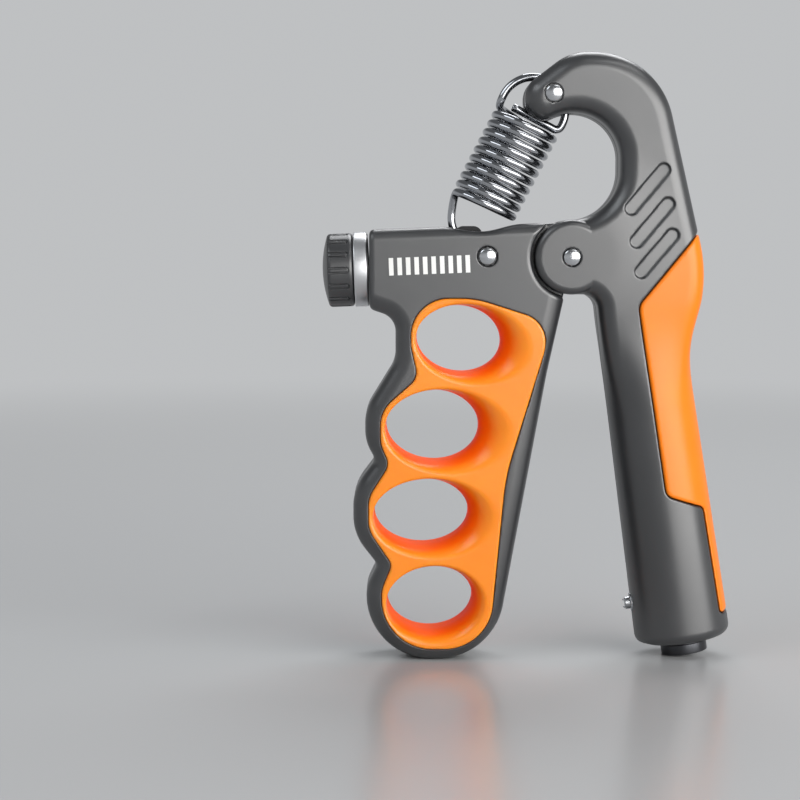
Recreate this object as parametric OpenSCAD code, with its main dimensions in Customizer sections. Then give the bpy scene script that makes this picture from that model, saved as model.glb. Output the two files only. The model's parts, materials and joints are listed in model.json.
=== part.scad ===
// Adjustable hand grip strengthener with a finger handle, a palm handle,
// a tension spring, a spring adjuster and a squeeze counter.
// Lengths are in millimetres and angles in degrees.
// +X runs from the finger handle to the palm handle, +Y to the rear, +Z up.
// Outlines are drawn in the XZ plane from the main pivot and listed clockwise
// as [x, z, corner radius].

/* [Finger handle] */
// Thickness of the finger handle, front to rear
finger_t = 22; // [20:0.5:26]
// Rounding of the finger handle's outer edges
finger_edge = 4.5; // [3:0.5:5.5]
// Width of a middle finger hole
finger_w = 24.8; // [22:0.1:25.5]
// Height of an average finger hole
finger_h = 18.2; // [15:0.1:19]
// Distance between neighbouring finger holes
finger_pitch = 23.2; // [22.6:0.1:25]
// Drop from the pivot to the first finger hole
first_hole_drop = 21.7; // [21:0.1:24]
// Wall of rim and shell in front of each finger
lobe_wall = 5.6; // [4.5:0.1:7]
// Orange rim in front of each finger
rim_wall = 1.5; // [1.2:0.1:2]
// Wall below the little finger
base_wall = 7.6; // [7:0.1:10]
// Width of the finger handle at its base
base_w = 34; // [32:0.5:38]
// Sweep of each finger scoop towards the palm
scoops = [7.6, 8.4, 7.0, 3.6]; // [0:0.1:9]
// Height that the insert stands proud of the shells
insert_proud = 0.3; // [0.1:0.1:0.8]

/* [Pivot] */
// Radius of the round cheeks about the pivot
cheek_r = 9.85; // [9:0.05:10.5]
// Thickness across the two cheeks
cheek_t = 22.8; // [21:0.2:26]
// Thickness of the tongue between the cheeks
tongue_t = 7.2; // [6:0.2:9]
// Radius of the pivot pin
pivot_r = 1.6; // [1.3:0.1:2]
// Thickness of each pivot washer
washer_t = 0.5; // [0.3:0.1:1]

/* [Palm handle] */
// Thickness of the hook
hook_t = 21; // [19:0.5:24]
// Rounding of the hook's edges
hook_edge = 4.7; // [3.5:0.1:5]
// Height of the hook above the pivot
hook_h = 54.2; // [53.5:0.1:56]
// Radius of the handle at its base
grip_r = 12.8; // [12.3:0.1:13.5]
// Tilt of the handle from upright
grip_tilt = 8.25; // [7:0.25:9]
// Thickness of the grip pad
pad_t = 2; // [1.5:0.1:2.6]
// Depth of the slanted recesses
recess_depth = 0.8; // [0.4:0.1:1.5]
// Half width of the slanted recesses
recess_r = 1.75; // [1.2:0.05:2.2]

/* [Spring] */
// Diameter of the spring wire
wire_d = 2.1; // [1.6:0.1:2.1]
// Mean radius of the coil
coil_r = 8; // [7.5:0.1:8.2]
// Turns of the coil
coil_turns = 9; // [7:1:9]
// Mean radius of the upper end loop
head_loop_r = 8.8; // [8.6:0.1:9.2]
// Mean radius of the lower end loop
foot_loop_r = 7.8; // [7.6:0.1:8.2]
// Radius of the pins through the end loops
hook_pin_r = 1.25; // [1:0.05:1.3]

/* [Adjuster] */
// Diameter of the adjuster knob
knob_d = 19.6; // [18:0.1:20]
// Length of the adjuster knob without its domed end
knob_len = 6.9; // [6:0.1:9]
// Grooves round the adjuster knob
knob_grooves = 14; // [8:1:18]
// Diameter of the silver ring
ring_d = 19.9; // [18:0.1:20.5]
// Width of the silver ring
ring_w = 3.6; // [2.5:0.1:5]
// Radius of the adjusting screw
screw_r = 2.5; // [2:0.1:2.8]
// Travel of the spring carriage
carriage_travel = 12; // [8:0.5:12]
// Tilt of the screw, up towards the pivot
screw_tilt = 2.2; // [0:0.1:4]
// Bars of the tension scale
scale_bars = 10; // [4:1:11]

/* [Counter] */
// Radius of the digit wheels
wheel_r = 5.2; // [4:0.1:5.5]
// Width of each digit wheel
wheel_w = 3; // [2.5:0.1:3.4]
// Diameter of the plunger
plunger_d = 3.4; // [2.6:0.1:4]
// Height that the plunger stands out at rest
plunger_out = 2.4; // [2:0.1:3]
// Diameter of the reset knob
reset_d = 12.4; // [10:0.1:14]

/* [Fits] */
// Radial clearance of pins and shafts
run_fit = 0.05; // [0.02:0.01:0.1]
// Clearance between parts that lie side by side
side_fit = 0.15; // [0.05:0.05:0.3]

/* [Hidden] */
$fn = 64;

// Smallest corner radius, so that every corner keeps its points
tiny = 0.2;
// Overshoot of cuts past a surface
over = 1;
// Angle between the points of a rounded corner
corner_step = 15;
// Rings that round an edge
edge_rings = 3;

// Sizes of each finger hole against the average one
hole_x = [-29.7, -36.7, -39.7, -37.4];
hole_dw = [-1.1, 0, 0.2, -1.0];
hole_dh = [-0.2, 0.5, -0.1, -0.3];
hole_turn = [-8, -3, 0, 3];

function hole_z(i) = -first_hole_drop - finger_pitch * i;
function hole_a(i) = finger_w / 2 + hole_dw[i];
function hole_b(i) = finger_h / 2 + hole_dh[i];
function lobe_x(i) = hole_x[i] - hole_a(i) - lobe_wall;
function rim_x(i) = hole_x[i] - hole_a(i) - rim_wall;
function between(i) = (hole_z(i) + hole_z(i + 1)) / 2;

// Heights: the finger handle stands on its base, which sets the pivot's height
base_z = hole_z(3) - hole_b(3) - base_wall;
pivot_x = 11.25;
pivot_z = -base_z;

// Adjusting screw axis: height at the pivot's x, and at any x
screw_z0 = -1.15;
function screw_z(x) = screw_z0 + x * tan(screw_tilt);
// Depth of the adjuster housing above and below the screw
housing_half = 10.5;
// Left end of the housing
end_x = -53.6;

// Upper spring pin and the centre of its loop
head_pin = [-4.9, 43.2];
foot_pin = [-25.9, 5.7];
head_loop = [-9.9, 39.2];
foot_loop = [-23.8, 10.5];

// Middle of the palm handle's base
grip_foot = [31.4, base_z + 4.6];

// ---------- Outline functions ----------

function unit(v) = v / norm(v);
function turn_sign(a, b, c) = cross(b - a, c - b) > 0 ? 1 : -1;

// Points of a rounded corner at b, on the way from a to c
function corner(a, b, c, r) = let (
        u = unit(a - b),
        w = unit(c - b),
        half = acos(max(-1, min(1, u * w))) / 2,
        middle = b + unit(u + w) * r / sin(half),
        start = b + u * r / tan(half),
        turn = 180 - 2 * half,
        steps = max(2, round(turn / corner_step)),
        from = atan2(start[1] - middle[1], start[0] - middle[0]),
        way = turn_sign(a, b, c) * turn / steps
    ) [for (k = [0:steps]) middle + r * [cos(from + way * k), sin(from + way * k)]];

function flat(v) = [v[0], v[1]];
function at(list, i) = list[(i + len(list)) % len(list)];

// Corner b of a clockwise outline, moved inwards by d
function moved_in(a, b, c, d) = let (
        n1 = [unit(b - a)[1], -unit(b - a)[0]],
        n2 = [unit(c - b)[1], -unit(c - b)[0]]
    ) b + d * (n1 + n2) / (1 + n1 * n2);

// All points of a clockwise outline with rounded corners, moved inwards by d
function outline(list, d = 0) = let (
        moved = [for (i = [0:len(list) - 1])
            moved_in(flat(at(list, i - 1)), flat(list[i]), flat(at(list, i + 1)), d)]
    ) [for (i = [0:len(list) - 1])
        let (a = at(moved, i - 1), b = moved[i], c = at(moved, i + 1),
            r = turn_sign(a, b, c) < 0 ? max(list[i][2] - d, tiny) : list[i][2] + d)
        each corner(a, b, c, r)];

function ellipse_points(x, z, a, b, turn = 0, count = 36) = [for (k = [0:count - 1])
    let (t = 360 * k / count) [
        x + a * cos(t) * cos(turn) - b * sin(t) * sin(turn),
        z + a * cos(t) * sin(turn) + b * sin(t) * cos(turn)]];

// ---------- Shape helpers ----------

// A flat plate of an XZ outline, from y0 to y1
module plate(points, y0, y1) {
    translate([0, y1, 0]) rotate([90, 0, 0]) linear_extrude(y1 - y0) polygon(points);
}

// A cylinder along Y, from y0 to y1
module rod_y(x, z, r, y0, y1) {
    translate([x, y0, z]) rotate([-90, 0, 0]) cylinder(r = r, h = y1 - y0);
}

// A closed skin over rings that all have the same number of points and run
// clockwise, seen from the first ring towards the last
module skin(rings) {
    n = len(rings[0]);
    last = len(rings) - 1;
    polyhedron(
        points = [for (ring = rings) each ring],
        faces = [
            [for (i = [0:n - 1]) i],
            for (k = [0:last - 1]) for (i = [0:n - 1]) let (
                p = k * n + i,
                q = k * n + (i + 1) % n
            ) each [[p, p + n, q], [q, p + n, q + n]],
            [for (i = [n - 1:-1:0]) last * n + i]]);
}

// Half of a plate with soft edges: flat at y = 0, rounded at its face at y = half.
// Its whole surface is moved inwards by cut.
module soft_half(list, half, edge, cut = 0) {
    r = edge - cut;
    layers = [[0, cut], for (k = [0:edge_rings])
        [half - edge + r * sin(90 * k / edge_rings), cut + r * (1 - cos(90 * k / edge_rings))]];
    skin([for (layer = layers) [for (p = outline(list, layer[1])) [p[0], layer[0], p[1]]]]);
}

// Holds a freeform shape as one mesh at its own size
module freeform() {
    resize([0, 0, 0]) children();
}

module mirror_rear(side) {
    if (side < 0) mirror([0, 1, 0]) children();
    else children();
}

// Places children on the adjusting screw: +X along the screw, origin below the pivot
module on_screw() {
    translate([0, 0, screw_z0]) rotate([0, -screw_tilt, 0]) children();
}

// A cylinder along the screw, from s0 to s1
module rod_s(r, s0, s1) {
    on_screw() translate([s0, 0, 0]) rotate([0, 90, 0]) cylinder(r = r, h = s1 - s0);
}

// Places children in the palm handle: +Z up its axis, origin at its base
module on_grip() {
    translate([grip_foot[0], 0, grip_foot[1]]) rotate([0, -grip_tilt, 0]) children();
}

// Places the whole object with its base on z = 0 and its box centred
module placed() {
    translate([pivot_x, 0, pivot_z]) children();
}

// ---------- Outlines ----------

// Outer outline of the finger handle
finger_outline = [
    [end_x, screw_z(end_x) + housing_half, 1.5],
    [-2, screw_z(-2) + housing_half, 1],
    [-1.5, -9.5, 2],
    [-6.3, -31, 120],
    [lobe_x(3) + base_w, base_z, 17.8],
    [lobe_x(3), base_z, 17.2],
    [lobe_x(3), hole_z(3) + 3.2, 10],
    [lobe_x(3) + 2.9, between(2) - 2.4, 2],
    [lobe_x(2), hole_z(2) - 5.8, 14],
    [lobe_x(2), hole_z(2) + 6.4, 14],
    [lobe_x(2) + 6, between(1) + 2.7, 2.5],
    [lobe_x(1), hole_z(1) - 4.5, 11.7],
    [lobe_x(1), hole_z(1) + 4.3, 12],
    [lobe_x(0), hole_z(0) - 5.7, 9],
    [lobe_x(0), hole_z(0) + 5.6, 5.5],
    [end_x, screw_z(end_x) - housing_half, 1]];

// Outline of the orange insert
insert_bottom = base_z + 3.2;
insert_outline = [
    [rim_x(0), hole_z(0) + 10.8, 10],
    [-25.5, hole_z(0) + 10.8, 25],
    [-6.7, hole_z(0) + 4.8, 7.5],
    [-7, hole_z(0) - 2.8, 10],
    [-17.3, hole_z(1) - 13.1, 60],
    [-21.8, insert_bottom, 13],
    [rim_x(3), insert_bottom, 13.5],
    [rim_x(3), hole_z(3) + 2.8, 8],
    [rim_x(3) + 2.8, between(2) - 2.1, 3],
    [rim_x(2), hole_z(2) - 4.4, 8],
    [rim_x(2), hole_z(2) + 4.2, 8],
    [rim_x(2) + 5.6, between(1) + 1.5, 4],
    [rim_x(1), hole_z(1) - 4.6, 10],
    [rim_x(1), hole_z(1) + 4.2, 9],
    [-40.6, hole_z(0) - 10.2, 4.5],
    [rim_x(0), hole_z(0) - 1.8, 6]];

// Outline of the hook, from its tip over the top and down into the palm handle
hook_outline = [
    [-12.3, hook_h - 9, 6],
    [-0.5, hook_h, 14],
    [22.9, hook_h, 21.5],
    [36.2, -3.8, 40],
    [31.2, -28, 8],
    [8.6, -28, 5],
    [6.8, -cheek_r, 4.3],
    [-cheek_r, -cheek_r, cheek_r],
    [-cheek_r, cheek_r, cheek_r],
    [12.9, 10, 13],
    [12.9, hook_h - 8.4, 12.2],
    [-12.3, hook_h - 21, 5.1]];

// Region of the grip pad, which runs past the back of the handle
pad_outline = [
    [48.6, 24.8, tiny],
    [48.6, base_z + 13.2, tiny],
    [40.4, base_z + 12, 1.2],
    [35.5, -66.8, 1.8],
    [25.2, -63.5, 3],
    [17.6, -12.8, 4]];

// ---------- Finger handle ----------

tongue_r = cheek_r - 0.85;
cheek_gap = tongue_t / 2 + washer_t + 2 * run_fit;
socket_r = cheek_r + 0.85;
shell_half = finger_t / 2;
insert_half = shell_half + insert_proud;
// Channel for the nut of the carriage, and slot for its lug and the spring loop
nut_len = 8.6;
nut_half = 5.4;
nut_h = 8.6;
nut_end = -26.6;
nut_start = nut_end - nut_len;
channel_fit = 0.3;
channel_x = nut_start - carriage_travel - channel_fit;
channel_low = nut_h / 2 + channel_fit;
lug_half = 3.2;
lug_x = nut_start + 1.2;
slot_half = lug_half + 0.4;
slot_x = lug_x - carriage_travel - 0.7;
slot_end = -15.5;
block_x = nut_end + 0.4;
block_len = 6;
bush_len = 4.6;
bush_r = 4.6;
journal_r = 1.8;
journal_len = 1.9;

// Screw positions of the finger handle
finger_bosses = [[-7.4, -12.8], [-48.6, -10], [-13, -52], [-16.4, -73]];
screw_shaft_r = 1;
screw_head_r = 1.7;
screw_head_y = 8.4;
screw_head_t = 1.2;
screw_tip_y = -7;

hollow_r = 18.2;
hollow_depth = 1.6;
hollow_x = -23.5;

module finger_channels() {
    // Nut channel
    on_screw() translate([channel_x, -nut_half - channel_fit, -channel_low])
        cube([block_x + block_len + 0.2 - channel_x, 2 * (nut_half + channel_fit), 2 * channel_low]);
    // Room for the clip
    rod_s(clip_r + channel_fit, end_x + bush_len + 0.1, channel_x + over);
    // Slot through the top
    on_screw() translate([slot_x, -slot_half, 0])
        cube([slot_end - slot_x, 2 * slot_half, housing_half + over]);
    // Shallow hollow under the coil
    on_screw() translate([hollow_x, 0, housing_half + hollow_r - hollow_depth]) rotate([90, 0, 0])
        cylinder(r = hollow_r, h = finger_t + over, center = true);
}

// Stepped holes for case screws, with the heads to the rear
module screw_holes(places, head_y, face) {
    for (p = places) {
        rod_y(p[0], p[1], screw_shaft_r + run_fit, screw_tip_y - 0.5, head_y + tiny, $fn = 20);
        rod_y(p[0], p[1], screw_head_r + run_fit, head_y, face + over, $fn = 24);
    }
}

// One half shell: side -1 is the front, 1 the rear
module finger_shell(side) {
    difference() {
        freeform() difference() {
            mirror_rear(side) union() {
                difference() {
                    soft_half(finger_outline, shell_half, finger_edge);
                    rod_y(0, 0, socket_r, tongue_t / 2, shell_half + over);
                }
                rod_y(0, 0, tongue_r, 0, tongue_t / 2);
            }
            plate(outline(insert_outline, -side_fit), -insert_half - over, insert_half + over);
            finger_channels();
            screw_holes(finger_bosses, screw_head_y, shell_half);
        }
        rod_y(0, 0, pivot_r + run_fit, -shell_half, shell_half);
        rod_s(bush_r, end_x - over, end_x + bush_len + 0.2);
        rod_y(rivet_x, rivet_z, rivet_r + run_fit, -shell_half - over, shell_half + over);
    }
}

module finger_shell_front() {
    color("#3b3c3e") placed() finger_shell(-1);
}

module finger_shell_rear() {
    color("#3b3c3e") placed() finger_shell(1);
}

// Depth from the middle at which the scoops start, and their curve
scoop_start = 2.5;
scoop_rings = 4;
scoop_low = 3;
scoop_side = 0.4;

// Depths of the rings of a finger hole, from the middle to just past the face,
// each with the share of the scoop that it has
scoop_rows = [for (k = [0:scoop_rings]) let (t = 90 * k / scoop_rings)
    [scoop_start + (insert_half - scoop_start) * sin(t), 1 - cos(t)]];
hole_rows = [
    [-insert_half - over, 1],
    for (k = [scoop_rings:-1:0]) [-scoop_rows[k][0], scoop_rows[k][1]],
    for (row = scoop_rows) row,
    [insert_half + over, 1]];

// The space of one finger hole, flared towards the palm at both faces
module finger_hole(i) {
    skin([for (row = hole_rows) let (
            a = hole_a(i) + (scoops[i] + scoop_side) / 2 * row[1],
            b = hole_b(i) + (scoop_low + scoop_side) / 2 * row[1],
            x = hole_x[i] + (scoops[i] - scoop_side) / 2 * row[1],
            z = hole_z(i) - (scoop_low - scoop_side) / 2 * row[1]
        ) [for (p = ellipse_points(x, z, a, -b, hole_turn[i])) [p[0], row[0], p[1]]]]);
}

// The soft insert with four finger holes
module finger_insert() {
    color("#f5801f") placed() freeform() difference() {
        plate(outline(insert_outline), -insert_half, insert_half);
        for (i = [0:3]) finger_hole(i);
    }
}

// A cross-head screw along Y, head to the rear
module case_screw(x, z, head_y, tip_y) {
    slot_w = 0.5;
    difference() {
        union() {
            rod_y(x, z, screw_shaft_r, tip_y, head_y + tiny);
            rod_y(x, z, screw_head_r, head_y, head_y + screw_head_t);
        }
        for (turn = [0, 90]) translate([x, head_y + screw_head_t, z]) rotate([0, turn, 0])
            cube([2 * screw_head_r - 1, 1.2, slot_w], center = true);
    }
}

module finger_screws() {
    color("#8d8f92") placed() for (p = finger_bosses)
        case_screw(p[0], p[1], screw_head_y, screw_tip_y);
}

// A pin along Y with a domed head at each end
module domed_pin(x, z, r, half, head_r, dome) {
    steps = 6;
    profile = [
        [0, -half - dome],
        for (k = [1:steps]) [head_r * sin(90 * k / steps), -half - dome * cos(90 * k / steps)],
        [r, -half], [r, half],
        for (k = [steps:-1:1]) [head_r * sin(90 * k / steps), half + dome * cos(90 * k / steps)],
        [0, half + dome]];
    translate([x, 0, z]) rotate([90, 0, 0]) rotate_extrude() polygon(profile);
}

pin_dome = 1.3;
pin_head_r = 2.15;
head_recess_r = 2.75;
head_recess = 0.5;

module pivot_pin() {
    color("#d9dadb") placed()
        domed_pin(0, 0, pivot_r, cheek_t / 2 - head_recess, pin_head_r, pin_dome);
}

module pivot_washers() {
    washer_y = tongue_t / 2 + run_fit + washer_t / 2;
    color("#e8e6df") placed() for (side = [-1, 1]) translate([0, side * washer_y, 0]) rotate([90, 0, 0])
        difference() {
            cylinder(r = tongue_r - 3, h = washer_t, center = true);
            cylinder(r = pivot_r + run_fit, h = washer_t + over, center = true);
        }
}

module end_bush() {
    color("#c9a24a") placed() difference() {
        rod_s(bush_r - run_fit, end_x + 0.3, end_x + bush_len);
        rod_s(screw_r + run_fit, end_x - over, end_x + bush_len + over);
    }
}

rivet_x = -22.3;
rivet_z = 0.24;
rivet_r = 1.5;
// Lowest height and half width of the way that the spring's foot loop needs
loop_floor = 1.35;
loop_way = wire_d / 2 + 0.35;

// Block that holds the inner end of the screw, grooved for the spring's foot loop
module thrust_block() {
    color("#9a9b9d") placed() difference() {
        on_screw() translate([block_x, -nut_half, -nut_h / 2])
            cube([block_len, 2 * nut_half, nut_h]);
        rod_s(journal_r + run_fit, block_x - over, block_x + journal_len + 0.2);
        rod_y(rivet_x, rivet_z, rivet_r + run_fit, -nut_half - over, nut_half + over);
        translate([block_x - over, -loop_way, loop_floor]) cube([block_len + 2, 2 * loop_way, nut_h]);
    }
}

module scale_rivet() {
    color("#d9dadb") placed()
        domed_pin(rivet_x, rivet_z, rivet_r, shell_half, pin_head_r, pin_dome);
}

bar_w = 1.2;
bar_h = 4.6;
bar_pitch = 2.25;
bar_t = 0.2;
bar_mid = 0.5;
bar_gap = 5.8;

// Plain bars of the tension scale, on the front of the housing
module scale_bars_print() {
    color("#f2f2f0") placed() on_screw() for (k = [0:scale_bars - 1])
        translate([rivet_x - bar_gap - bar_pitch * k, -shell_half - bar_t, bar_mid - bar_h / 2])
            cube([bar_w, bar_t, bar_h]);
}

// ---------- Adjuster ----------

ring_gap = 0.3;
knob_inner = end_x - 0.4 - ring_w - ring_gap;
knob_outer = knob_inner - knob_len;
knob_dome = 1.4;
hub_r = 7.6;
knob_edge = 0.8;
groove_r = 0.8;
groove_depth = 0.6;
groove_stop = 1.2;
// Wall of the knob past the end of the screw
socket_end = 1;

// Profile of the knob, as [distance from the axis, distance along the axis]
knob_profile = [
    [0, -knob_len - knob_dome],
    for (k = [1:5])
        [(knob_d / 2 - knob_edge) * sin(16 * k) / sin(80), -knob_len - knob_dome * cos(18 * k)],
    [knob_d / 2, -knob_len + knob_edge],
    [knob_d / 2, -0.3],
    [knob_d / 2 - 0.3, 0],
    [hub_r, 0],
    [hub_r, ring_w + ring_gap],
    [0, ring_w + ring_gap]];

module adjuster_knob() {
    groove_len = knob_len + knob_dome + over - groove_stop - groove_r;
    groove_x = knob_d / 2 - groove_depth;
    groove_end = -groove_stop - groove_r;
    color("#2f3032") placed() on_screw() translate([knob_inner, 0, 0]) rotate([0, 90, 0])
        difference() {
            freeform() difference() {
                rotate_extrude($fn = 56) polygon(knob_profile);
                for (k = [0:knob_grooves - 1]) rotate([0, 0, 360 * (k + 0.5) / knob_grooves]) {
                    translate([groove_x, -groove_r, groove_end - groove_len])
                        cube([knob_d, 2 * groove_r, groove_len]);
                    translate([groove_x, 0, groove_end]) rotate([0, 90, 0])
                        cylinder(r = groove_r, h = knob_d, $fn = 16);
                }
            }
            translate([0, 0, socket_end - knob_len])
                cylinder(r = screw_r + run_fit, h = knob_len + ring_w + over);
        }
}

module knob_ring() {
    chamfer = 0.3;
    color("#d4d6d8") placed() on_screw() translate([knob_inner + ring_gap / 2, 0, 0])
        rotate([0, 90, 0]) rotate_extrude() polygon([
            [hub_r + run_fit, 0],
            [ring_d / 2 - chamfer, 0],
            [ring_d / 2, chamfer],
            [ring_d / 2, ring_w - chamfer],
            [ring_d / 2 - chamfer, ring_w],
            [hub_r + run_fit, ring_w]]);
}

clip_t = 0.8;
clip_r = screw_r + 1.3;
clip_x = end_x + bush_len + 0.2;
clip_groove = 0.5;

module adjuster_screw() {
    color("#b8babd") placed() difference() {
        union() {
            rod_s(screw_r, knob_outer + socket_end + 0.3, block_x - 0.3);
            rod_s(journal_r, block_x - 0.4, block_x + journal_len);
        }
        on_screw() translate([clip_x, 0, 0]) rotate([0, 90, 0]) difference() {
            cylinder(r = screw_r + over, h = clip_t + 0.1);
            cylinder(r = screw_r - clip_groove, h = clip_t + 0.1);
        }
    }
}

// Retaining clip in the screw's groove
module screw_clip() {
    mouth = 2;
    color("#7d7f82") placed() on_screw() translate([clip_x + 0.05, 0, 0]) rotate([0, 90, 0])
        difference() {
            cylinder(r = clip_r, h = clip_t);
            translate([0, 0, -over])
                cylinder(r = screw_r - clip_groove + run_fit, h = clip_t + 2 * over);
            translate([0, -mouth / 2, -over]) cube([clip_r + over, mouth, clip_t + 2 * over]);
        }
}

// Nut block with two lug cheeks that hold the spring's lower loop
module spring_carriage() {
    lug_low = 0.6;
    fork_low = 1.7;
    lug = outline([
        [lug_x, lug_low, tiny],
        [lug_x, 5.2, 0.6],
        [foot_pin[0] - 3.2, foot_pin[1] + 2.6, 1.5],
        [foot_pin[0] + 2.5, foot_pin[1] + 2.6, 2.4],
        [foot_pin[0] + 2.5, foot_pin[1] - 1.6, 0.8],
        [nut_end - 0.3, foot_pin[1] - 1.8, 0.3],
        [nut_end - 0.3, lug_low, tiny]]);
    color("#6f7275") placed() difference() {
        union() {
            on_screw() translate([nut_start, -nut_half, -nut_h / 2])
                cube([nut_len, 2 * nut_half, nut_h]);
            plate(lug, -lug_half, lug_half);
        }
        rod_s(screw_r + run_fit, nut_start - over, nut_end + over);
        translate([nut_start - over, -loop_way, fork_low]) cube([nut_len + 8, 2 * loop_way, 9]);
        rod_y(foot_pin[0], foot_pin[1], hook_pin_r + run_fit, -lug_half - over, lug_half + over);
    }
}

module carriage_pin() {
    color("#c4c6c8") placed() rod_y(foot_pin[0], foot_pin[1], hook_pin_r, -lug_half, lug_half);
}

// ---------- Spring ----------

coil_up = unit(head_loop - foot_loop);
coil_side = [coil_up[1], -coil_up[0]];
coil_low = foot_loop + 3.8 * coil_up;
coil_high = head_loop - 4.6 * coil_up;
coil_pitch = norm(coil_high - coil_low) / coil_turns;
curl_rings = 8;
// Part of a turn left free at each end of the coil for the bend into the loop
lead = 34;
wire_sides = 6;

function xz(p, y = 0) = [p[0], y, p[1]];
function coil_point(t) = xz(
    coil_low + coil_up * coil_pitch * t / 360 - coil_side * coil_r * cos(t),
    -coil_r * sin(t));
function loop_point(middle, r, t) = xz(middle + r * [cos(t), sin(t)]);
// Smooth bridge between two points with given directions
function bridge(p, dp, q, dq, t) = (2 * t ^ 3 - 3 * t ^ 2 + 1) * p + (t ^ 3 - 2 * t ^ 2 + t) * dp
    + (3 * t ^ 2 - 2 * t ^ 3) * q + (t ^ 3 - t ^ 2) * dq;

coil_start = coil_point(lead);
coil_end = coil_point(360 * coil_turns - lead);
start_dir = unit(coil_point(lead + 1) - coil_point(lead));
end_dir = unit(coil_point(360 * coil_turns - lead) - coil_point(360 * coil_turns - lead - 1));
bend = 7;
foot_top = 172;
foot_free = 315;
head_low = 160;
head_free = -22;
loop_step = 22;

foot_arc = [for (t = [foot_free:-loop_step:foot_top + 1]) t];
head_arc = [for (t = [head_low:-loop_step:head_free]) t];
foot_tip_dir = [cos(foot_free + 90), 0, sin(foot_free + 90)];
head_tip_dir = [cos(head_free - 90), 0, sin(head_free - 90)];

spring_path = [
    loop_point(foot_loop, foot_loop_r, foot_free) + wire_d * foot_tip_dir,
    for (t = foot_arc) loop_point(foot_loop, foot_loop_r, t),
    for (k = [0:4]) bridge(
        loop_point(foot_loop, foot_loop_r, foot_top),
        bend * [cos(foot_top - 90), 0, sin(foot_top - 90)],
        coil_start, bend * start_dir, k / 5),
    for (t = [lead:360 / curl_rings:360 * coil_turns - lead - 1]) coil_point(t),
    for (k = [0:4]) bridge(
        coil_end, bend * end_dir,
        loop_point(head_loop, head_loop_r, head_low),
        bend * [cos(head_low - 90), 0, sin(head_low - 90)], k / 5),
    for (t = head_arc) loop_point(head_loop, head_loop_r, t),
    loop_point(head_loop, head_loop_r, head_free),
    loop_point(head_loop, head_loop_r, head_free) + wire_d * head_tip_dir];

path_n = len(spring_path);
path_dir = [for (i = [0:path_n - 1])
    unit(spring_path[min(i + 1, path_n - 1)] - spring_path[max(i - 1, 0)])];

// A ring normal carried along the path without twist
function carried(i, n) = let (m = unit(n - (n * path_dir[i]) * path_dir[i]))
    i == path_n - 1 ? [m] : concat([m], carried(i + 1, m));
path_normal = carried(0, [0, 1, 0]);

spring_rings = [for (i = [0:path_n - 1]) let (n = path_normal[i], b = cross(path_dir[i], n))
    [for (k = [0:wire_sides - 1]) spring_path[i]
        + wire_d / 2 * (cos(360 * k / wire_sides) * n + sin(360 * k / wire_sides) * b)]];

// Least gap of the wire to itself, on points more than half a curl apart
self_gap = min([for (i = [0:path_n - 1]) for (j = [i + 5:1:path_n - 1])
    norm(spring_path[i] - spring_path[j]) - wire_d]);
echo(least_gap_of_the_spring_to_itself = self_gap);

module tension_spring() {
    color("#d9dadb") placed() skin(spring_rings);
}

// ---------- Palm handle ----------

palm_len = 98;
palm_rings = [
    // height along the axis, radius change, squareness
    [0, -2.6, 2], [0.8, -1.1, 2], [2.8, 0, 2], [22, -0.35, 2], [45, -0.75, 2],
    [66, -1.15, 2.05], [78, -1.3, 2.25], [88, -1.7, 2.5], [palm_len, -2.6, 2.8]];

function super_ring(r, power, count = 32) = [for (k = [0:count - 1]) let (
        t = 360 * k / count,
        c = cos(t),
        s = sin(t))
    [r * sign(c) * pow(abs(c), 2 / power), r * sign(s) * pow(abs(s), 2 / power)]];

// The round palm handle, moved inwards by cut
module palm_barrel(cut) {
    on_grip() skin([for (row = palm_rings)
        let (z = row[0] == 0 ? cut : row[0])
        [for (p = super_ring(grip_r + row[1] - cut, row[2])) [p[0], p[1], z]]]);
}

// Everything in the palm half: hook, cheek and handle
module palm_form(side, cut = 0) {
    mirror_rear(side) soft_half(hook_outline, hook_t / 2, hook_edge, cut);
    intersection() {
        palm_barrel(cut);
        translate([0, side > 0 ? 0 : -50, -150]) cube([100, 50, 300]);
    }
}

tip_slot_half = wire_d / 2 + 0.4;
recesses = [[[24.1, 23], [15.6, 12.9]], [[25.3, 14], [17, 4.2]], [[26.5, 5.8], [18.3, -3.8]]];
palm_bosses = [[20.5, 32], [13.5, -20], [18.6, -60]];
palm_screw_y = 6;

// Counter, with heights along the handle axis from its base
bay_r = 8;
bay_low = 2.2;
bay_top = 30.4;
counter_low = 17.3;
wheel_gap = 0.3;
window_w = 3 * wheel_w + 2 * wheel_gap - 0.2;
window_h = 4.2;
plunger_z = 11.5;
collar_r = 2.6;
reset_shaft_r = 1.6;

module counter_bay() {
    on_grip() {
        translate([0, 0, bay_low]) cylinder(r = bay_r, h = bay_top - bay_low);
        // Bore for the reset shaft
        translate([0, 0, -over]) cylinder(r = reset_shaft_r + run_fit, h = bay_low + 2 * over);
        // Bore for the plunger collar
        translate([-grip_r - over, 0, plunger_z]) rotate([0, 90, 0])
            cylinder(r = collar_r + run_fit, h = grip_r);
        // Opening for the counter window
        translate([-window_h / 2 - side_fit, 0, counter_low + 0.1 - side_fit])
            cube([window_h + 2 * side_fit, grip_r + over, window_w + 2 * side_fit]);
    }
}

// Shallow round seats of the heads of a pin, at both faces
module head_seats(x, z, half) {
    rod_y(x, z, head_recess_r, half - head_recess, half + over);
    rod_y(x, z, head_recess_r, -half - over, head_recess - half);
}

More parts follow.
